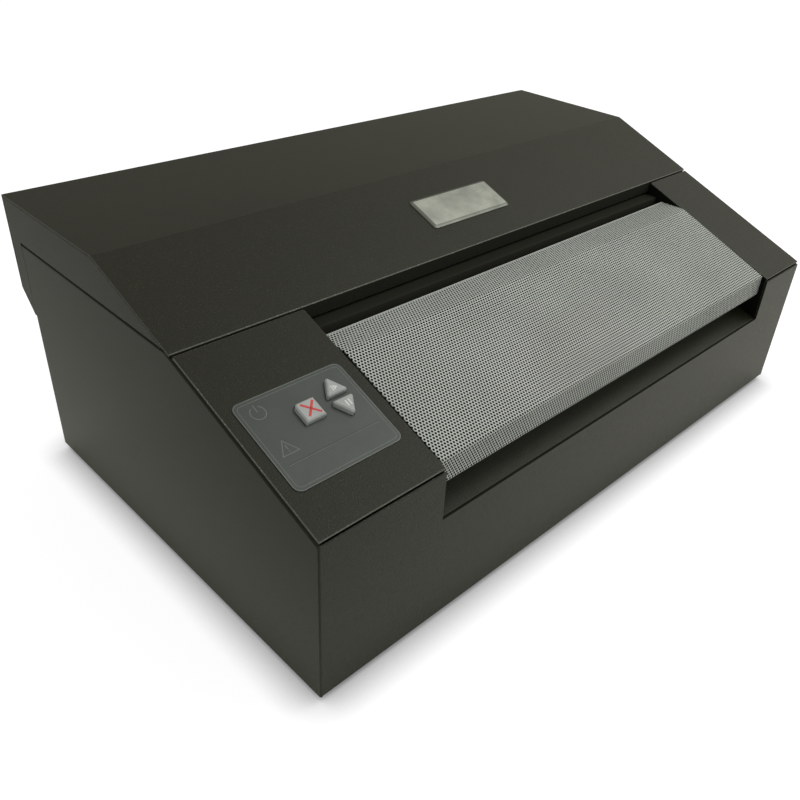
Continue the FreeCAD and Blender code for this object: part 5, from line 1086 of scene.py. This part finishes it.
class EMBOSSER_OT_electronics(bpy.types.Operator):
    """Finishes the boards, the supply, the sockets and the fan"""

    bl_idname = "embosser.electronics"
    bl_label = "Electronics"

    def execute(self, context):
        board = circuit_board("board_green", (0.07, 0.26, 0.15), (0.72, 0.68, 0.58))
        zinc = worked_metal("supply_zinc", (0.6, 0.61, 0.59), 0.36)
        plastic = moulded("fan_plastic", (0.09, 0.09, 0.095), 0.45)
        resin = moulded("chip_resin", (0.11, 0.11, 0.115), 0.4)
        sleeve = moulded("capacitor_sleeve", (0.08, 0.1, 0.2), 0.32)
        brass = worked_metal("pin_brass", (0.7, 0.62, 0.4), 0.25)

        def on_capacitor(at):
            return at.z > BOARD_TOP and CAPACITORS[0] < at.y < CAPACITORS[1]

        dressed("main_board", board, 0.1, [
            (zinc, lambda at, out: at.z < BOARD_FOOT or (on_capacitor(at) and out.z > STRAIGHT)),
            (sleeve, lambda at, out: on_capacitor(at)),
            (resin, lambda at, out: at.z > BOARD_TOP and at.x < CHIPS_RIGHT),
            (zinc, lambda at, out: at.z > BOARD_TOP),
        ])

        def above_deck(at):
            return off_slope(at.y, at.z - FRONT_HEIGHT)

        corners = frame["nodes"]["key_board"].data.vertices
        top = min(above_deck(case_mm(corner.co)) for corner in corners) + KEY_BOARD_THICKNESS
        left, right = KEY_BOARD_POSTS
        dressed("key_board", board, 0.1, [
            (zinc, lambda at, out: above_deck(at) > top and (at.x < left or at.x > right)),
            (resin, lambda at, out: above_deck(at) > top),
        ])
        dressed("power_supply", zinc, 0.25)
        dressed("data_ports", zinc, 0.2, [(plastic, self.in_port)])
        dressed("power_inlet", plastic, 0.3, [(brass, self.on_pin)])
        for node in ("fan_frame", "fan_rotor", "power_rocker"):
            dressed(node, plastic, 0.3)
        self.switch_marks(frame["nodes"]["power_rocker"]["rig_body"], slot_of["power_rocker"])
        return {"FINISHED"}

    def in_port(self, at, out):
        """Whether a face is inside a data socket."""
        return PORT_DEPTH[0] < at.y < PORT_DEPTH[1] and any(
            left + PORT_WALL < at.x < right - PORT_WALL and PORT_FOOT < at.z < top - PORT_WALL
            for left, right, top in PORTS)

    def on_pin(self, at, out):
        """Whether a face is on one of the mains socket's pins."""
        return at.y > INLET_FLOOR and any(
            abs(at.x - x) < PIN_HALF_WIDTH and abs(at.z - z) < PIN_HALF_HEIGHT for x, z in PINS)

    def switch_marks(self, body, slot):
        """The line and the ring on the two halves of the rocker."""
        white = moulded("rocker_ink", (0.84, 0.85, 0.83), 0.45)

        def on_lower(x, z):
            return spot(x, ROCKER_FACE, z)

        def on_upper(x, along):
            rear, up = along * math.sin(ROCKER_LEAN), along * math.cos(ROCKER_LEAN)
            return spot(x, ROCKER_FACE + rear, ROCKER_MIDDLE + up)

        ring = [(arc(ROCKER_X, 52.3, 1.5, 0, 345, 23), 0.5, True)]
        line = [([(ROCKER_X, 1.7), (ROCKER_X, 4.7)], 0.6, False)]
        flat_prints("rocker_ring", ring, on_lower, MARK_HEIGHT, white, body, slot)
        flat_prints("rocker_line", line, on_upper, MARK_HEIGHT, white, body, slot)


class EMBOSSER_OT_stage(bpy.types.Operator):
    """Lays the floor and sets the lamps, the sky and the camera"""

    bl_idname = "embosser.stage"
    bl_label = "Stage"

    def execute(self, context):
        scene = context.scene
        stage = scene.embosser.stage
        floor = bpy.data.meshes.new("floor")
        floor.from_pydata([(-6, -6, 0), (6, -6, 0), (6, 6, 0), (-6, 6, 0)], [], [(0, 1, 2, 3)])
        floor.materials.append(self.floor_paint(stage.contact))
        show("floor", floor)
        self.lamp("key", place=(0.9, -0.5, 1.5), aim=(0.05, 0.0, 0.1), size=1.2, power=stage.key_power)
        scene.world = self.sky(stage)
        scene.camera = self.camera()
        scene.view_settings.view_transform = "Standard"
        return {"FINISHED"}

    def camera(self):
        """The camera where the photograph was taken from."""
        camera = bpy.data.cameras.new("camera")
        camera.lens = CAMERA_LENS
        camera.shift_x, camera.shift_y = CAMERA_SHIFT
        camera.clip_start = 0.01
        holder = show("camera", camera)
        azimuth, elevation, roll = (math.radians(a) for a in CAMERA_TURN)
        forward = Vector((math.sin(azimuth) * math.cos(elevation), math.cos(azimuth) * math.cos(elevation),
                          -math.sin(elevation)))
        right = forward.cross(Vector((0, 0, 1))).normalized()
        up = right.cross(forward)
        side = right * math.cos(roll) + up * math.sin(roll)
        top = up * math.cos(roll) - right * math.sin(roll)
        turn = Matrix((side, top, -forward)).transposed()
        holder.matrix_world = Matrix.Translation(spot(*CAMERA_PLACE)) @ turn.to_4x4()
        return holder

    def lamp(self, name, place, aim, size, power):
        """A square lamp aimed at a point."""
        light = bpy.data.lights.new(name, "AREA")
        light.size = size
        light.energy = power
        holder = show(name, light)
        turn = (Vector(aim) - Vector(place)).to_track_quat("-Z", "Y")
        holder.matrix_world = Matrix.Translation(place) @ turn.to_matrix().to_4x4()

    def blank(self, owner):
        """An emptied tree, its tests for camera rays and for mirrored rays, and the light's tint."""
        owner.use_nodes = True
        paint = Graph(owner.node_tree)
        paint.tree.nodes.clear()
        rays = paint.add("ShaderNodeLightPath").outputs
        mirrored = paint.math("MAXIMUM", rays["Is Glossy Ray"], rays["Is Transmission Ray"])
        return paint, rays["Is Camera Ray"], mirrored, paint.tint(mirrored, WHITE, WARM)

    def floor_paint(self, reach):
        """White to the camera and in reflections, with the lamp's shadow of the object and a painted contact
        shadow at its foot; grey to other light.
        """
        material = bpy.data.materials.new("floor_paint")
        paint, seen, mirrored, tint = self.blank(material)
        # Painted contact shadow: ambient occlusion dims the floor's glow next to the object
        open_sky = paint.add("ShaderNodeAmbientOcclusion", {"Distance": reach}, samples=12).outputs["AO"]
        # A painted shadow: in reflections the floor grows darker towards the left of the object
        across = paint.split(paint.add("ShaderNodeNewGeometry").outputs["Position"])[0]
        left_painted_shadow = paint.between(mirrored, 1.0, paint.spread(across, -0.42, -0.27, 0.34, 0.94))
        glow = paint.times(paint.times(paint.math("POWER", open_sky, 1.4), 0.86), left_painted_shadow)
        grey = paint.out("ShaderNodeBsdfDiffuse", {"Color": (0.5, 0.5, 0.5, 1)})
        white = paint.out("ShaderNodeBsdfDiffuse", {"Color": (0.3, 0.3, 0.3, 1)})
        glow = paint.out("ShaderNodeEmission", {"Color": tint, "Strength": glow})
        both = paint.out("ShaderNodeAddShader", {0: white, 1: glow})
        bright = paint.math("MAXIMUM", seen, mirrored)
        shown = paint.out("ShaderNodeMixShader", {0: bright, 1: grey, 2: both})
        paint.add("ShaderNodeOutputMaterial", {"Surface": shown})
        return material

    def sky(self, stage):
        """An even light, seen as white, and in reflections as a room with its window in front."""
        world = bpy.data.worlds.new("sky")
        paint, seen, mirrored, tint = self.blank(world)
        right, rear, up = paint.split(paint.add("ShaderNodeTexCoord").outputs["Generated"])
        front = paint.times(rear, -1.0)
        room = stage.behind
        for way, start, end, gain in ((up, 0.35, 0.55, stage.overhead), (front, -0.25, 0.35, stage.front),
                                      (right, 0.4, 0.9, stage.right)):
            rise = paint.spread(way, start, end, 0.0, gain, interpolation_type="SMOOTHSTEP")
            room = paint.plus(rise, room)
        level = paint.between(seen, paint.between(mirrored, stage.light, room), 1.0)
        glow = paint.out("ShaderNodeBackground", {"Color": tint, "Strength": level})
        paint.add("ShaderNodeOutputWorld", {"Surface": glow})
        return world


class EMBOSSER_PT_panel(bpy.types.Panel):
    """Lists the embosser's settings and pieces"""

    bl_idname = "EMBOSSER_PT_panel"
    bl_label = "Braille Embosser"
    bl_space_type = "VIEW_3D"
    bl_region_type = "UI"
    bl_category = "Embosser"

    def draw(self, context):
        settings = context.scene.embosser
        for title in ("paint", "grille", "stage"):
            group = getattr(settings, title)
            box = self.layout.box()
            box.label(text=title.title())
            for name in group.__annotations__:
                box.prop(group, name)
        for piece in PIECES:
            self.layout.operator(piece.bl_idname)


SETTINGS = (PaintSettings, GrilleSettings, StageSettings, EmbosserSettings)
PIECES = (
    EMBOSSER_OT_stage,
    EMBOSSER_OT_case,
    EMBOSSER_OT_lid,
    EMBOSSER_OT_grille,
    EMBOSSER_OT_badge,
    EMBOSSER_OT_panel,
    EMBOSSER_OT_keys,
    EMBOSSER_OT_mechanism,
    EMBOSSER_OT_electronics,
)


def register():
    """Makes the settings, operators and panel known."""
    for kind in (*SETTINGS, *PIECES, EMBOSSER_PT_panel):
        bpy.utils.register_class(kind)
    bpy.types.Scene.embosser = PointerProperty(type=EmbosserSettings)


def unregister():
    """Takes them back out."""
    del bpy.types.Scene.embosser
    for kind in reversed((*SETTINGS, *PIECES, EMBOSSER_PT_panel)):
        bpy.utils.unregister_class(kind)


def main():
    """Builds every piece."""
    register()
    for piece in PIECES:
        group, name = piece.bl_idname.split(".")
        getattr(getattr(bpy.ops, group), name)()


if __name__ == "__main__":
    main()
